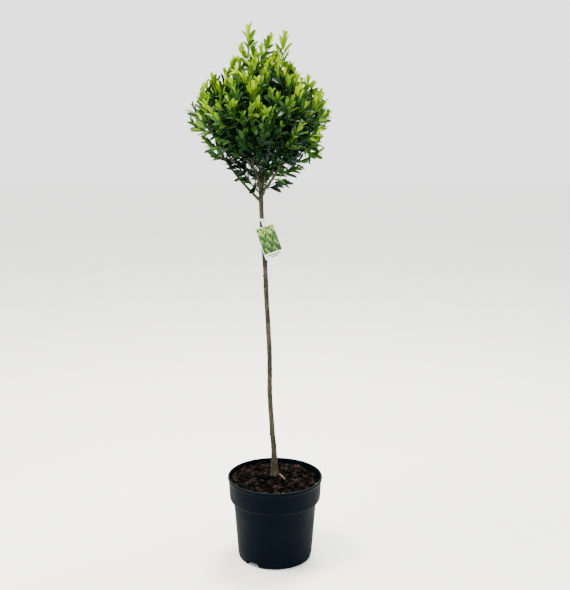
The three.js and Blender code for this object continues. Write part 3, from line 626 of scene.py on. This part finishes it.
# node, what it grows from, angle, reach and height of its centre, height of its crest
masses = [
    (f"foliage_{side}", f"bough_{side}", (192 + 60 * i) % 360, 88, 1112, 1150) for i, side in enumerate(sides)
] + [
    ("foliage_top", "tip", 0, 0, 1112, 1236),
    ("foliage_foot_left", 928, 222, 40, 966, 980),
    ("foliage_foot_right", 936, 342, 40, 966, 980),
    ("foliage_foot_back", 922, 102, 40, 964, 978),
]
foliageNodes = [mass[0] for mass in masses]


def valueAt(table, height):
    return float(np.interp(height, [row[0] for row in table], [row[1] for row in table]))


def headPoint(angle, reach, height):
    turn, (x, y) = math.radians(angle), head["axis"]
    return np.array([x + reach * math.cos(turn), y + reach * math.sin(turn), height])


def unit(vector):
    return vector / max(np.linalg.norm(vector), 1e-9)


def bezier(controls, count):
    t, n = np.linspace(0, 1, count)[:, None], len(controls) - 1
    return sum(math.comb(n, k) * t ** k * (1 - t) ** (n - k) * control for k, control in enumerate(controls))


def alongRoute(points):
    # the way along at each point, and the distance from the start
    steps = np.diff(points, axis=0)
    lengths = np.linalg.norm(steps, axis=1)
    ways = np.vstack([steps[:1], (steps[1:] + steps[:-1]) / 2, steps[-1:]])
    return ways / np.linalg.norm(ways, axis=1)[:, None], np.concatenate([[0], np.cumsum(lengths)])


def sweep(points, radii, sides, shape=None):
    # a tube with closed ends on a route; shape(i, angle) gives a ring's factor at an angle
    ways, _ = alongRoute(points)
    across = np.array([1.0, 0, 0]) if abs(ways[0][2]) > 0.9 else np.array([0, 0, 1.0])
    corners, faces = [], []
    angles = [2 * math.pi * k / sides for k in range(sides)]
    for i, (point, way, radius) in enumerate(zip(points, ways, radii)):
        across = unit(across - way * across.dot(way))
        other = np.cross(way, across)
        for angle in angles:
            size = radius * (shape(i, angle) if shape else 1)
            corners.append(point + size * turned(across, other, angle)[0])
    rings = [range(first, first + sides) for first in range(0, len(corners), sides)]
    for low, high in zip(rings, rings[1:]):
        faces += bandFaces(low, high)
    return corners, faces + [rings[0][::-1], rings[-1]]


def between(places, rows, place):
    # the row at a place between the rows' own places
    return np.array([np.interp(place, places, column) for column in rows.T])


def stemAt(height):
    route = np.array(stem["route"])
    return between(route[:, 2], route, height)


def stemPoint(height):
    return stemAt(height)[:3]


def boughRoute(leaves, angle, reach, top, count=5):
    start, tip = stemPoint(leaves), headPoint(angle, reach, top)
    middle = (start + tip) / 2
    middle[:2] += (tip - start)[:2] * 0.1
    middle[2] -= (top - leaves) * 0.06
    return bezier([start, middle, tip], count), unit(tip - middle)


def barkMaterial(name, stops, pore):
    # young bark: grey-brown cork over olive, finely cracked along the stem, with pale breathing pores
    material, tree, shader = newMaterial(name, stops[1][1], 0.8, gloss=0.16)
    cracks = patterned(tree, shader, 2.4, 5, alongZ=0.22, relief=(0.8, 0.6))
    blotches = patterned(tree, shader, 26, 3)
    pores = patterned(tree, shader, 3.4, 1)
    blended = addNode(tree, "ShaderNodeMix", {"data_type": "FLOAT"}, {0: 0.5}, {2: cracks, 3: blotches})
    base = addNode(tree, "ShaderNodeValToRGB", {"stops": stops}, links={"Fac": blended.outputs[0]})
    spotty = {"From Min": 0.66, "From Max": 0.72, "To Min": 0, "To Max": 0.6}
    spots = addNode(tree, "ShaderNodeMapRange", inputs=spotty, links={"Value": pores})
    addNode(
        tree,
        "ShaderNodeMix",
        {"data_type": "RGBA"},
        {7: toLinear(pore)},
        {0: spots.outputs[0], 6: base.outputs["Color"]},
        {2: shader.inputs["Base Color"]},
    )
    return material


greyStops = [(0.38, "#13120c"), (0.5, "#29251b"), (0.62, "#433d2e")]
oliveStops = [(0.38, "#151708"), (0.5, "#242713"), (0.62, "#393c23")]
stemMaterial = barkMaterial("youngBarkGrey", greyStops, "#675f4b")
boughMaterial = barkMaterial("youngBarkOlive", oliveStops, "#50533a")


def makeStem():
    rng = np.random.default_rng(stem["seed"])
    route = np.array(stem["route"], float)
    low, high = route[0, 2], route[-1, 2]
    footHeights = np.linspace(low, low + 40, 30)[:-1]
    heights = np.concatenate([footHeights, np.arange(low + 40, high, stem["ringEvery"]), [high]])
    points = np.array([stemPoint(height) for height in heights])
    # the stem wanders a little between the points of its route
    fade = np.clip((heights - low) / 60, 0, 1) * np.clip((high - heights) / 60, 0, 1)
    points[:, 0] += fade * 0.8 * np.sin(heights / 37.0)
    points[:, 1] += fade * 0.8 * np.sin(heights / 29.0 + 1)
    radii = [stemAt(height)[3] + stem["bark"] for height in heights]
    first, last = low + stem["knotsBetween"][0], stem["knotsBetween"][1]
    knots = []
    for i in range(stem["knots"]):
        knotHeight = first + (last - first) / stem["knots"] * (i + rng.uniform(0.3, 0.7))
        knots.append((knotHeight, i * 2.4 + rng.normal(0, 0.5), rng.uniform(0.6, 1.2)))

    def shape(i, angle):
        height, radius = heights[i], radii[i]
        share = max(0, 1 - (height - low) / stem["flareHeight"])
        lobes = 1 + stem["flareDepth"] * share * share * math.cos(stem["flareLobes"] * angle)
        ridge = noise.noise(Vector((math.cos(angle) * 2.6, math.sin(angle) * 2.6, height / 26)))
        grain = noise.noise(Vector((math.cos(angle) * 6, math.sin(angle) * 6, height / 9)))
        rise = stem["relief"] * (ridge + 0.5 * grain)
        phase = (height % stem["nodeEvery"]) / stem["nodeEvery"] - 0.5
        rise += stem["nodeSwell"] * math.exp(-((phase * stem["nodeEvery"] / 3.5) ** 2))
        for knotHeight, knotAngle, size in knots:
            up = (height - knotHeight) / (3.4 * size)
            if abs(up) > 3:
                continue
            turn = (angle - knotAngle + math.pi) % (2 * math.pi) - math.pi
            side = turn * radius / (3.0 * size)
            rise += stem["knotHeight"] * size * math.exp(-up * up - side * side)
        return lobes + rise / radius

    corners, faces = sweep(points, radii, stem["sides"], shape)
    settle(meshPiece("stemBark", corners, faces, [stemMaterial]), "bark", "trunk")
    print("stem:", len(faces), "faces")


makeStem()

flake = {                 # a pale strip of split wood that lies against the stem's foot
    "route": [(10, 8, 214.5), (17, -2, 214), (25, -17, 210)],
    "radius": 3.1,
    "rings": 12,
    "sides": 10,
}


def makeFlake():
    route = bezier([np.array(point, float) for point in flake["route"]], flake["rings"])
    radii = flake["radius"] * np.sin(np.linspace(0.35, 2.9, flake["rings"])) ** 0.6
    corners, faces = sweep(route, radii, flake["sides"], lambda i, angle: 0.4 + 0.6 * abs(math.cos(angle)))
    settle(meshPiece("splitFlake", corners, faces, [chipMaterials["tan"]]), "bark_mulch", "soil")
    print("filling: split flake")


makeFlake()


def makeBoughs():
    corners, faces = [], []
    for index, (_, leaves, angle, reach, top) in enumerate(boughs["routes"]):
        points, _ = boughRoute(leaves, angle, reach, top, 60)
        radii = np.linspace(boughs["startRadius"], boughs["tipRadius"], len(points))
        collar = np.exp(-np.arange(len(points)) / 3.0) * 1.3

        def shape(i, turn):
            grain = noise.noise(Vector((math.cos(turn) * 3, math.sin(turn) * 3, i * 0.35 + 40 * index)))
            joint = math.exp(-((((i * 2.3) % 21) - 10.5) / 1.8) ** 2)
            return 1 + 0.09 * grain + 0.09 * joint + collar[i] / radii[i]

        addTo(corners, faces, sweep(points, radii, 14, shape))
    piece = meshPiece("boughBark", corners, faces, [boughMaterial])
    settle(piece, "bough_bark", *[route[0] for route in boughs["routes"]])
    print("boughs:", len(faces), "faces")


makeBoughs()


# The head grows by one seeded rule: each mass has a stem, and a shoot to every end in its space, from the
# twig that reaches it best.
twigs = {
    "tipRadius": 0.62,
    "rootRadius": 0.66,
    "perBranch": 0.2,     # added for the square root of the shoots that a twig carries
    "sides": 6,
    "pointEvery": 9,
    "wander": 1.6,
    "detour": 0.8,        # what setting off sideways adds to a way, as a share of it
    "bend": 0.45,         # share of a shoot's length over which it turns to its own direction
    "forks": (0.3, 0.5),  # shares of it where other shoots can start
    "shortest": 20,
    "topCentre": 1214,    # where the topmost mass's own stem bends
    "tries": 12,          # places from which a shoot's way is tried, the best first
    "tooShort": (38, 80),  # a shoot shorter than this counts as this much longer
}
sprays = {
    "leafyLength": (54, 98),
    "freeLeafy": 1.25,    # times longer on the shoots that make the outline, the free ones
    "leafyShare": 0.86,   # of a shoot's length at most
    "nodeSpacing": 11,
    "firstNode": 1.5,
    "opens": [13, 24, 32, 38, 44, 49, 53, 56],   # degrees from the twig, from its tip down
    "sizes": [0.78, 0.96, 1.04, 1.05, 1.03, 1.0, 0.97, 0.94],
    "length": 30,
    "width": 10,
    "blade": [            # share of the length, and how wide it is there as a share of the greatest width
        (0, 0.07), (0.07, 0.13), (0.25, 0.68), (0.52, 1.0), (0.78, 0.9), (0.93, 0.56),
    ],
    "fold": 0.32,
    "arch": (0.03, 0.24),
    "closer": (0.86, 1235),        # free shoots' leaves open less, by this share, below this height
    "larger": (1.1, 1.08, 1100),   # and are longer and wider above this one
    "low": (1.14, 1.08, 1015),     # any leaves are longer and wider below this one, in fewer pairs
    "lowPairs": 3,
    "limbGap": 0.8,
    "vary": {             # how leaves differ: shares of a measure, and radians, or degrees for opens
        "spacing": (0.93, 1.07),
        "around": 0.16,
        "opens": 6,
        "lift": 0.07,
        "roll": 0.22,
        "length": (0.84, 1.12),
        "width": (0.86, 1.1),
    },
}
# a leaf's tone, how pale and yellow it is: yellower near a shoot's end, as young leaves are, and painted
# light and shade besides: paler high up, outside, on the free sprays and on the flanks, darker deeper inside
# the head
tones = {
    "least": 0.06,
    "inner": 0.16,        # painted light: more for the leaves inside the head's top
    "byLeaf": 0.11,
    # outer, light and spray are painted light; youth is the yellow of young leaves near a shoot's end
    "outer": 0.08,
    "light": 0.28,
    "youth": 0.34,
    "spray": 0.13,
    "bySpray": 0.06,
    "youthNodes": 1.1,
    "depth": 60,          # mm under the outline where no light is left
    "heights": (1000, 1240),
    "flank": 0.2,         # more for every flankWidth to the left or right, where light comes past the head
    "flankWidth": 130,
    "flankStart": 0.25,   # but only from this share of it on
}


stemInHead = stem["route"][stem["firstInHead"]:]
limbLines = [(boughRoute(*route[1:])[0], boughs["startRadius"]) for route in boughs["routes"]]
limbLines.append((np.array([row[:3] for row in stemInHead], float), stemInHead[0][3]))
limbStarts = np.vstack([line[:-1] for line, _ in limbLines])
limbEnds = np.vstack([line[1:] for line, _ in limbLines])
limbRadii = np.concatenate([np.full(len(line) - 1, radius) for line, radius in limbLines])


def distanceToLimbs(points):
    points = np.atleast_2d(points)
    way = limbEnds - limbStarts
    share = ((points[:, None] - limbStarts) * way).sum(2) / (way * way).sum(1)
    nearest = limbStarts + np.clip(share, 0, 1)[..., None] * way
    return (np.linalg.norm(points[:, None] - nearest, axis=2) - limbRadii).min(1)


def headingAt(turn, rise):
    return np.array([math.cos(turn) * math.cos(rise), math.sin(turn) * math.cos(rise), math.sin(rise)])


goldenAngle = 137.508   # degrees from one shoot's end to the next, which spreads them evenly


def shootEnds(rng):
    heights = np.linspace(head["outline"][0][0], head["outline"][-1][0], 120)
    radii = np.array([valueAt(head["outline"], height) for height in heights])
    slopes = np.gradient(radii, heights)
    crowd = np.array([valueAt(head["density"], height) for height in heights])
    middle = np.array([*head["axis"], head["middle"]])
    ends = []
    for shell, count in head["shells"]:
        shares = radii * np.hypot(1, slopes) * crowd
        ladder = np.cumsum(shares) / shares.sum()
        for i in range(count):
            row = int(np.searchsorted(ladder, (i + 0.5) / count))
            angle = i * goldenAngle + shell * 360 + rng.normal(0, 5)
            low, high = head["inset"]
            inset = low + (high - low) * rng.random() ** 1.3
            steep = math.hypot(1, slopes[row])
            reach = max(radii[row] - inset / steep, 3)
            at = headPoint(angle, reach, heights[row] + inset * slopes[row] / steep)
            rise = math.radians(valueAt(head["rise"], heights[row]) + rng.normal(0, 7))
            turn = math.radians(angle + rng.normal(0, 12))
            at = middle + (at - middle) * (shell * (1 + rng.normal(0, 0.03)) if shell < 1 else 1)
            ends.append({"at": at, "heading": headingAt(turn, rise), "free": False})
    axisX, axisY = head["axis"]
    for x, y, z in head["longShoots"]:
        away = np.array([x - axisX, y - axisY, 0]) * 0.004
        ends.append(endAt((x, y, z), unit(np.array([0, 0, 1.0]) + away), 200))
    listed = list(head["sprays"])
    for x, y, z in head["sprays"]:
        if z > head["turnedAbove"] or z < head["turnedBelow"]:
            listed += [(axisX - y, axisY + side * (x - axisX), z) for side in (1, -1)]
    for x, y, z in head["frontSprays"]:
        listed += [(x, y, z), (2 * axisX - x, 2 * axisY - y, z - 6)]
    for x, y, z in listed:
        rise = math.radians(valueAt(head["rise"], z) - head["sprayLean"] + rng.normal(0, 5))
        turn = math.atan2(y - axisY, x - axisX) + rng.normal(0, 0.15)
        reach = math.hypot(x - axisX, y - axisY) + head["sprayOverhang"]
        ends.append(endAt((x, y, z), headingAt(turn, rise), reach))
    return ends


def endAt(tip, heading, free):
    # the end of a shoot whose last leaves reach to tip; free is how far its leaves may reach from the axis
    at = np.array(tip, float) - heading * sprays["length"] * sprays["sizes"][0]
    return {"at": at, "heading": heading, "free": free}


def massStart(source, centre):
    # where a mass's own stem starts and which way, and the places on the bough that carries it
    limb = {name: route for name, *route in boughs["routes"]}.get(source)
    if limb:
        points, heading = boughRoute(*limb, 16)
        ways, _ = alongRoute(points)
        return points[-1], heading, [(points[k], ways[k], 0) for k in range(6, 16, 2)]
    if source == "tip":
        return np.array(stem["route"][-1][:3], float), np.array([0, 0, 1.0]), []
    start = stemPoint(source)
    return start, unit(centre - start), []


def growMass(mass, ends, rng):
    _, source, angle, reach, height, crestHeight = mass
    centre = headPoint(angle, reach, height if source != "tip" else twigs["topCentre"])
    start, heading, onBough = massStart(source, centre)
    crest = centre.copy()
    crest[2] = crestHeight
    bend = start + heading * 0.4 * np.linalg.norm(centre - start)
    route = bezier([start, bend, centre, crest], 16)
    ways, _ = alongRoute(route)
    grown = [{"points": route, "parent": -1, "stem": True, "carries": 1, "leafy": False, "free": False}]
    places = [(route[k], ways[k], 0) for k in range(2, 16, 2)] + onBough
    for end in sorted(ends, key=lambda each: np.linalg.norm(each["at"] - start)):
        at, toward = end["at"], end["heading"]

        def cost(place):
            run = at - place[0]
            length = np.linalg.norm(run)
            least, extra = twigs["tooShort"]
            sideways = twigs["detour"] * (1 - unit(run).dot(place[1]))
            return length * (1 + sideways) + (extra if length < least else 0)

        for point, _, parent in sorted(places, key=cost)[:twigs["tries"]]:
            length = np.linalg.norm(at - point)
            count = max(int(length / twigs["pointEvery"]), 5)
            curve = bezier([point, at - twigs["bend"] * length * toward, at], count)
            if distanceToLimbs(curve[2:]).min() > 1 and length > twigs["shortest"]:
                break
        else:
            continue
        sway = np.sin(np.linspace(0, math.pi, count))[:, None]
        curve = curve + sway * rng.normal(0, twigs["wander"], 3)
        ways, _ = alongRoute(curve)
        own = {"points": curve, "parent": parent, "stem": False, "carries": 1, "leafy": True}
        grown.append({**own, "free": end["free"]})
        for share in twigs["forks"]:
            k = int(share * count)
            places.append((curve[k], ways[k], len(grown) - 1))
    for twig in reversed(grown[1:]):
        grown[twig["parent"]]["carries"] += twig["carries"]
    return grown


def leafTemplate():
    # along, across and up for the corners of one blade: three columns that narrow to the tip
    corners, faces = [], []
    for share, half in sprays["blade"]:
        corners += [(share, -half, half), (share, 0, 0), (share, half, half)]
    last = len(corners) - 3
    corners.append((1.0, 0, 0))
    for a in range(0, last, 3):
        faces += [(a, a + 1, a + 4, a + 3), (a + 1, a + 2, a + 5, a + 4)]
    faces += [(last, last + 1, last + 3), (last + 1, last + 2, last + 3)]
    return np.array(corners), faces


def hasRoom(at, tip, reach, free):
    limit = free or valueAt(head["outline"], tip[2]) + head["overhang"]
    bareTop, bareHalf = head["bareFront"]
    onStem = min(abs(tip[0] - stemPoint(tip[2])[0]), abs(at[0] - stemPoint(at[2])[0])) < bareHalf
    hidesStem = tip[2] < bareTop and tip[1] < 0 and onStem
    return reach <= limit and tip[2] >= head["outline"][0][0] - 6 and not hidesStem


def toneAt(tip, room, k, free):
    # a leaf's tone, and the light at its tip
    # painted light: paler high up, near the outline, on free sprays and on the flanks; painted shade: darker
    # deeper under the outline; youth is the real yellow of young leaves
    low, high = tones["heights"]
    light = clamped((tip[2] - low) / (high - low))
    youth = math.exp(-k / tones["youthNodes"])
    outer = 1 if free else clamped(1 - room / tones["depth"])
    lit = tones["outer"] + light * (tones["light"] + tones["youth"] * youth)
    if free:
        lit += tones["spray"] * (0.3 + 0.7 * youth) * (0.2 + 0.8 * light)
    aside = abs(tip[0] - head["axis"][0]) / tones["flankWidth"]
    lit += tones["flank"] * max(aside - tones["flankStart"], 0)
    return tones["least"] + (1 - outer) * light * light * tones["inner"] + outer * lit, light


def touchesLimb(at, along, right, face, long, wide):
    # the whole blade keeps clear of the stem and boughs, its edges and its lifted or sunken middle too
    blade = [
        at + along * long * share + right * wide * aside + face * rise
        for share in (0.04, 0.2, 0.4, 0.6, 0.8, 1)
        for aside in (-0.5, 0, 0.5)
        for rise in (-1.5, 2)
    ]
    return distanceToLimbs(np.array(blade)).min() < sprays["limbGap"]


def leavesOn(twig, rng):
    # pairs of leaves, each pair crossed on the one before, from the tip down; the whole spray shares a tint
    points, free = twig["points"], twig["free"]
    ways, run = alongRoute(points)
    length = run[-1]
    closer, closerBelow = sprays["closer"]
    longer, wider, largerAbove = sprays["larger"]
    lowLonger, lowWider, lowBelow = sprays["low"]
    vary = sprays["vary"]
    tint, dealt = rng.normal(0, tones["bySpray"]), rng.random()
    leafy = rng.uniform(*sprays["leafyLength"]) * (sprays["freeLeafy"] if free else 1)
    leafy = min(leafy, length * sprays["leafyShare"])
    count = int((leafy - sprays["firstNode"]) / sprays["nodeSpacing"]) + 1
    turn = rng.uniform(0, math.pi)
    rows = []
    for k in range(count):
        below = sprays["firstNode"] + k * sprays["nodeSpacing"] * rng.uniform(*vary["spacing"])
        at, way = between(run, points, length - below), unit(between(run, ways, length - below))
        across = unit(np.cross(way, [0.3, 0.9, 0.1] if abs(way[2]) > 0.9 else [0, 0, 1.0]))
        other = np.cross(way, across)
        for side in range(2):
            angle = turn + k * math.pi / 2 + side * math.pi + rng.normal(0, vary["around"])
            out = turned(across, other, angle)[0]
            narrow = closer if free and at[2] < closerBelow else 1
            opens = math.radians(sprays["opens"][min(k, 7)] * narrow + rng.normal(0, vary["opens"]))
            lift = valueAt(head["lift"], at[2]) * (0.35 + 0.65 * math.sin(opens))
            lift += rng.normal(0, vary["lift"])
            ahead, down = turned(way, out, opens)
            along = unit(ahead + np.array([0, 0, lift]))
            face = unit(-down - along * (-down).dot(along))
            face, right = turned(face, np.cross(along, face), rng.normal(0, vary["roll"]))
            large = free and at[2] > largerAbove
            size = sprays["sizes"][min(k, 7)] * rng.uniform(*vary["length"]) * (longer if large else 1)
            long = sprays["length"] * size
            wide = sprays["width"] * size * rng.uniform(*vary["width"]) * (wider if large else 1)
            tip = at + along * long
            reach = math.hypot(tip[0] - head["axis"][0], tip[1] - head["axis"][1])
            middleAndTip = np.array([at + along * long * 0.5, tip])
            if not hasRoom(at, tip, reach, free) or distanceToLimbs(middleAndTip).min() < sprays["limbGap"]:
                continue
            tone, light = toneAt(tip, valueAt(head["outline"], tip[2]) - reach, k, free)
            arch, own = rng.uniform(*sprays["arch"]), rng.normal(0, tones["byLeaf"] * (0.45 + 0.55 * light))
            if at[2] < lowBelow:
                long, wide = long * lowLonger, wide * lowWider
                if k >= sprays["lowPairs"]:
                    continue
            if not touchesLimb(at, along, right, face, long, wide):
                rows.append((at, along, right, face, long, wide, arch, tone + own + tint, dealt))
    return rows


def growHead():
    # every shoot belongs to the mass whose middle is nearest to its end
    rng = np.random.default_rng(head["seed"])
    centres = np.array([headPoint(angle, reach, height) for _, _, angle, reach, height, _ in masses])
    ends = shootEnds(rng)
    nearest = [np.linalg.norm(centres - end["at"], axis=1).argmin() for end in ends]
    twigsGrown, leaves = [], []
    for index, mass in enumerate(masses):
        grown = growMass(mass, [end for end, owner in zip(ends, nearest) if owner == index], rng)
        for twig in grown:
            if twig["leafy"]:
                leaves += leavesOn(twig, rng)
        twigsGrown += grown
        print("head:", mass[0], len(grown), "twigs,", len(leaves), "leaves so far")
    return twigsGrown, leaves


# leaf blades: a waxy skin over green tissue, thin and yellow in young leaves, dark and glossier in old ones;
# the tone that sorts them also holds painted light and shade, so the paler kinds are also the leaves painted
# as lit and the darker ones those painted as shaded inside the head
leafKinds = [
    # piece, slot, lowest tone, roughness, gloss, colours dealt out by spray
    ("leavesShaded", "shaded_leaves", -9.0, 0.34, 0.14, ["#051a0a", "#0a2611"]),
    ("leavesOldHalfShaded", "leaves", 0.17, 0.34, 0.12, ["#173315", "#204018"]),
    ("leavesGrownHalfLit", "leaves", 0.3, 0.36, 0.1, ["#2b4a1a", "#36591d"]),
    ("leavesFreshLit", "leaves", 0.44, 0.4, 0.08, ["#4a691a", "#567818"]),
    ("leavesLight", "young_leaves", 0.58, 0.44, 0.05, ["#66880e", "#74960e"]),
    ("leavesYoungBrightLit", "young_leaves", 0.72, 0.46, 0.04, ["#82a006", "#90aa08", "#9cb20a"]),
]


def leafMaterial(name, colour, roughness, gloss):
    material, tree, shader = newMaterial(name, colour, roughness, 1.45, gloss)
    patterned(tree, shader, 4, 2, roughness=(roughness - 0.08, roughness + 0.1), relief=(0.3, 0.4))
    return material


def makeLeaves(leaves):
    corners, leafFaces = leafTemplate()
    size = len(corners)
    foot, along, right, face, long, wide, arch, tone, dealt = (np.array(column) for column in zip(*leaves))
    u, v, lift = corners.T
    long, wide, points = long[:, None], wide[:, None], foot[:, None]
    up = sprays["fold"] * lift * wide - arch[:, None] * long * u ** 2
    for way, far in ((along, u * long), (right, v * wide / 2), (face, up)):
        points = points + way[:, None] * far[..., None]
    floors = [kind[2] for kind in leafKinds] + [9.0]
    for (name, slotName, low, roughness, gloss, colours), high in zip(leafKinds, floors[1:]):
        picked = np.where((tone >= low) & (tone < high))[0]
        if not len(picked):
            continue
        materials = [
            leafMaterial(f"{name}Blade{k}", colour, roughness, gloss) for k, colour in enumerate(colours)
        ]
        tints = (dealt[picked] * len(colours)).astype(int)
        allFaces = [tuple(c + size * i for c in each) for i in range(len(picked)) for each in leafFaces]
        faceTints = np.repeat(tints, len(leafFaces))
        piece = meshPiece(name, points[picked].reshape(-1, 3), allFaces, materials, faceTints)
        settle(piece, slotName, *foliageNodes)
        print("leaves:", name, len(picked), "blades,", len(allFaces), "faces")


def makeTwigs(grown):
    groups = {"twigsWoody": ([], []), "twigsGreen": ([], [])}
    for twig in grown:
        points = twig["points"]
        root = twigs["rootRadius"] + twigs["perBranch"] * math.sqrt(twig["carries"])
        if twig["stem"]:
            root = boughs["tipRadius"]
        radii = np.linspace(root, twigs["tipRadius"], len(points))
        group = groups["twigsWoody" if twig["carries"] > 2 else "twigsGreen"]
        addTo(*group, sweep(points, radii, twigs["sides"] + (4 if twig["stem"] else 0)))
    # the skin of this year's shoots: green, blushed brown where the light gets to it
    shootMaterial, tree, shader = newMaterial("greenShootSkin", "#2c3512", 0.5, gloss=0.2)
    patterned(tree, shader, 18, 2, stops=[(0.35, "#2b2011"), (0.55, "#2c3512"), (0.7, "#3f4c18")])
    settle(meshPiece("twigsWoody", *groups["twigsWoody"], [boughMaterial]), "bough_bark", *foliageNodes)
    settle(meshPiece("twigsGreen", *groups["twigsGreen"], [shootMaterial]), "leaves", *foliageNodes)
    print("twigs:", len(grown), "twigs")


grownTwigs, grownLeaves = growHead()
makeTwigs(grownTwigs)
makeLeaves(grownLeaves)


# The hang tag: a coated card on its own strap, with a plain printed pattern of leaves.
tag = {
    "height": 868,
    "loopRadius": 5.8,    # inside, round the stem
    "strapWidth": 5,
    "strapThickness": 0.9,
    "cardWidth": 47,
    "cardLength": 80,
    "cardThickness": 0.9,
    "corner": 3.2,
    "lean": 20,
    "turn": -8,
    "tail": 16.5,         # from the loop to the card
    "border": 1.2,
    "panelFoot": 14.5,    # from the card's lower edge to the printed panel
    "rows": 9,
    "leafLength": 9.5,
    "leafWidth": 3.8,
    "leafLean": 24,       # degrees, to one side and the other
    "ink": 0.12,          # thickness of a printed layer
    "seed": 4,
    "ground": [           # piece, colour, start and length as shares of the panel's length, layers of ink
        ("printedPanel", "#34581c", 0, 1, 1),
        ("printedPanelTop", "#8ea052", 0, 0.28, 2),
        ("printedPanelFoot", "#1c3a16", 0.7, 0.3, 2),
    ],
    "greens": [
        ("printedLeavesDark", "#16301a"),
        ("printedLeavesMid", "#2c5417"),
        ("printedLeavesPale", "#6f8f22"),
    ],
    "rules": [            # piece, colour, share of the panel's width, height, top above the foot, corner
        ("printedRuleLime", "#7d9612", 0.72, 3.4, 10.8, 1.6),
        ("printedRuleTeal", "#257382", 0.4, 2.6, 5.8, 1.2),
    ],
}

# white board with a satin coating; the inks sit on it as flat areas
cardMaterial, tree, shader = newMaterial("coatedWhiteCard", "#d9dad6", 0.4, gloss=0.3)
patterned(tree, shader, 1.5, 2, relief=(0.08, 0.1))


def inkMaterial(name, colour):
    # printing ink on the coating: slightly glossier than the card, a little uneven in its colour's depth
    material, tree, shader = newMaterial(name, colour, 0.36, gloss=0.3)
    patterned(tree, shader, 2.5, 2, roughness=(0.3, 0.44))
    return material


def roundedSheet(width, length, top, corner, steps=6):
    half = width / 2
    inner, upper, lower = half - corner, top - corner, top - length + corner
    centres = [(inner, upper, 0), (-inner, upper, 90), (-inner, lower, 180), (inner, lower, 270)]
    outline = []
    for x, z, first in centres:
        for k in range(steps + 1):
            angle = math.radians(first + 90 * k / steps)
            outline.append((x + corner * math.cos(angle), z + corner * math.sin(angle)))
    return outline


def slab(outlines, front, back):
    # flat outlines (x, z) as closed plates between two depths, seen from the front
    points, faces = [], []
    for outline in outlines:
        faces += [face[::-1] for face in plateFaces(len(points), len(outline))]
        points += [(x, front, z) for x, z in outline] + [(x, back, z) for x, z in outline]
    return points, faces


def hung(points):
    # leaned in the card's own plane, turned and put at its place on the stem
    at = stemPoint(tag["height"])
    lean, turn = math.radians(tag["lean"]), math.radians(tag["turn"])
    placed = []
    for x, y, z in points:
        z, x = turned(z, x, lean)
        y, x = turned(y, x, turn)
        placed.append((at[0] + x, at[1] + y, at[2] + z))
    return placed


def makeTag():
    rng = np.random.default_rng(tag["seed"])
    reach, thick, half = tag["loopRadius"], tag["strapThickness"], tag["strapWidth"] / 2
    front = -(reach + thick * 0.4 + tag["cardThickness"])
    back = front + tag["cardThickness"]
    top = -tag["tail"]
    strap = [(-half, 2), (-half, top - 1), (half, top - 1), (half, 2)]
    card = roundedSheet(tag["cardWidth"], tag["cardLength"], top, tag["corner"])
    points, faces = slab([card, list(reversed(strap))], front, back)
    corners = hung(points)
    loop = [(reach, -half), (reach + thick, -half), (reach + thick, half), (reach, half)]
    ringPoints, ringFaces = lathe(loop, 48, closed=True)
    addTo(corners, faces, ([tuple(stemPoint(tag["height"]) + point) for point in ringPoints], ringFaces))
    piece = meshPiece("hangTagCard", corners, faces, [cardMaterial], smooth=False)
    reworked(piece, lambda work: bmesh.ops.recalc_face_normals(work, faces=work.faces))
    settle(piece, "tag_card", "hang_tag")
    border, ink = tag["border"], tag["ink"]
    panelWidth = tag["cardWidth"] - 2 * border
    panelTop = top - border
    panelLength = tag["cardLength"] - border - tag["panelFoot"]
    layers = []
    for name, colour, start, share, count in tag["ground"]:
        sheet = roundedSheet(panelWidth, panelLength * share, panelTop - panelLength * start, 1.5)
        layers.append((name, colour, [sheet], ink * count))
    layers += [(name, colour, [], ink * 3) for name, colour in tag["greens"]]
    greens = layers[-3:]
    rowStep = panelLength / (tag["rows"] + 0.2)
    for row in range(tag["rows"]):
        z = panelTop - rowStep * (row + 0.62)
        count = 6 if row % 2 == 0 else 5
        for column in range(count):
            x = (column - (count - 1) / 2) * panelWidth / 6.3
            side = 1 if (row + column) % 2 else -1
            lean = math.radians(tag["leafLean"] * side + rng.normal(0, 12))
            outline = []
            for t in np.linspace(0, 2 * math.pi, 16, endpoint=False):
                u = tag["leafLength"] / 2 * math.cos(t)
                v = tag["leafWidth"] / 2 * math.sin(t) * (1 - 0.35 * math.cos(t))
                up, across = turned(u, v, lean)
                outline.append((x + across, z + up))
            greens[(row * 2 + column) % 3][2].append(outline[::-1])
    for name, colour, share, height, rise, corner in tag["rules"]:
        sheet = roundedSheet(panelWidth * share, height, top - tag["cardLength"] + rise, corner)
        layers.append((name, colour, [sheet], ink))
    for name, colour, outlines, proud in layers:
        points, faces = slab(outlines, front - proud, front + 0.05)
        piece = meshPiece(name, hung(points), faces, [inkMaterial(name + "Ink", colour)], smooth=False)
        settle(piece, "tag_card", "hang_tag")
    print("tag: card and", len(layers), "printed layers")


makeTag()


print("stage: done")
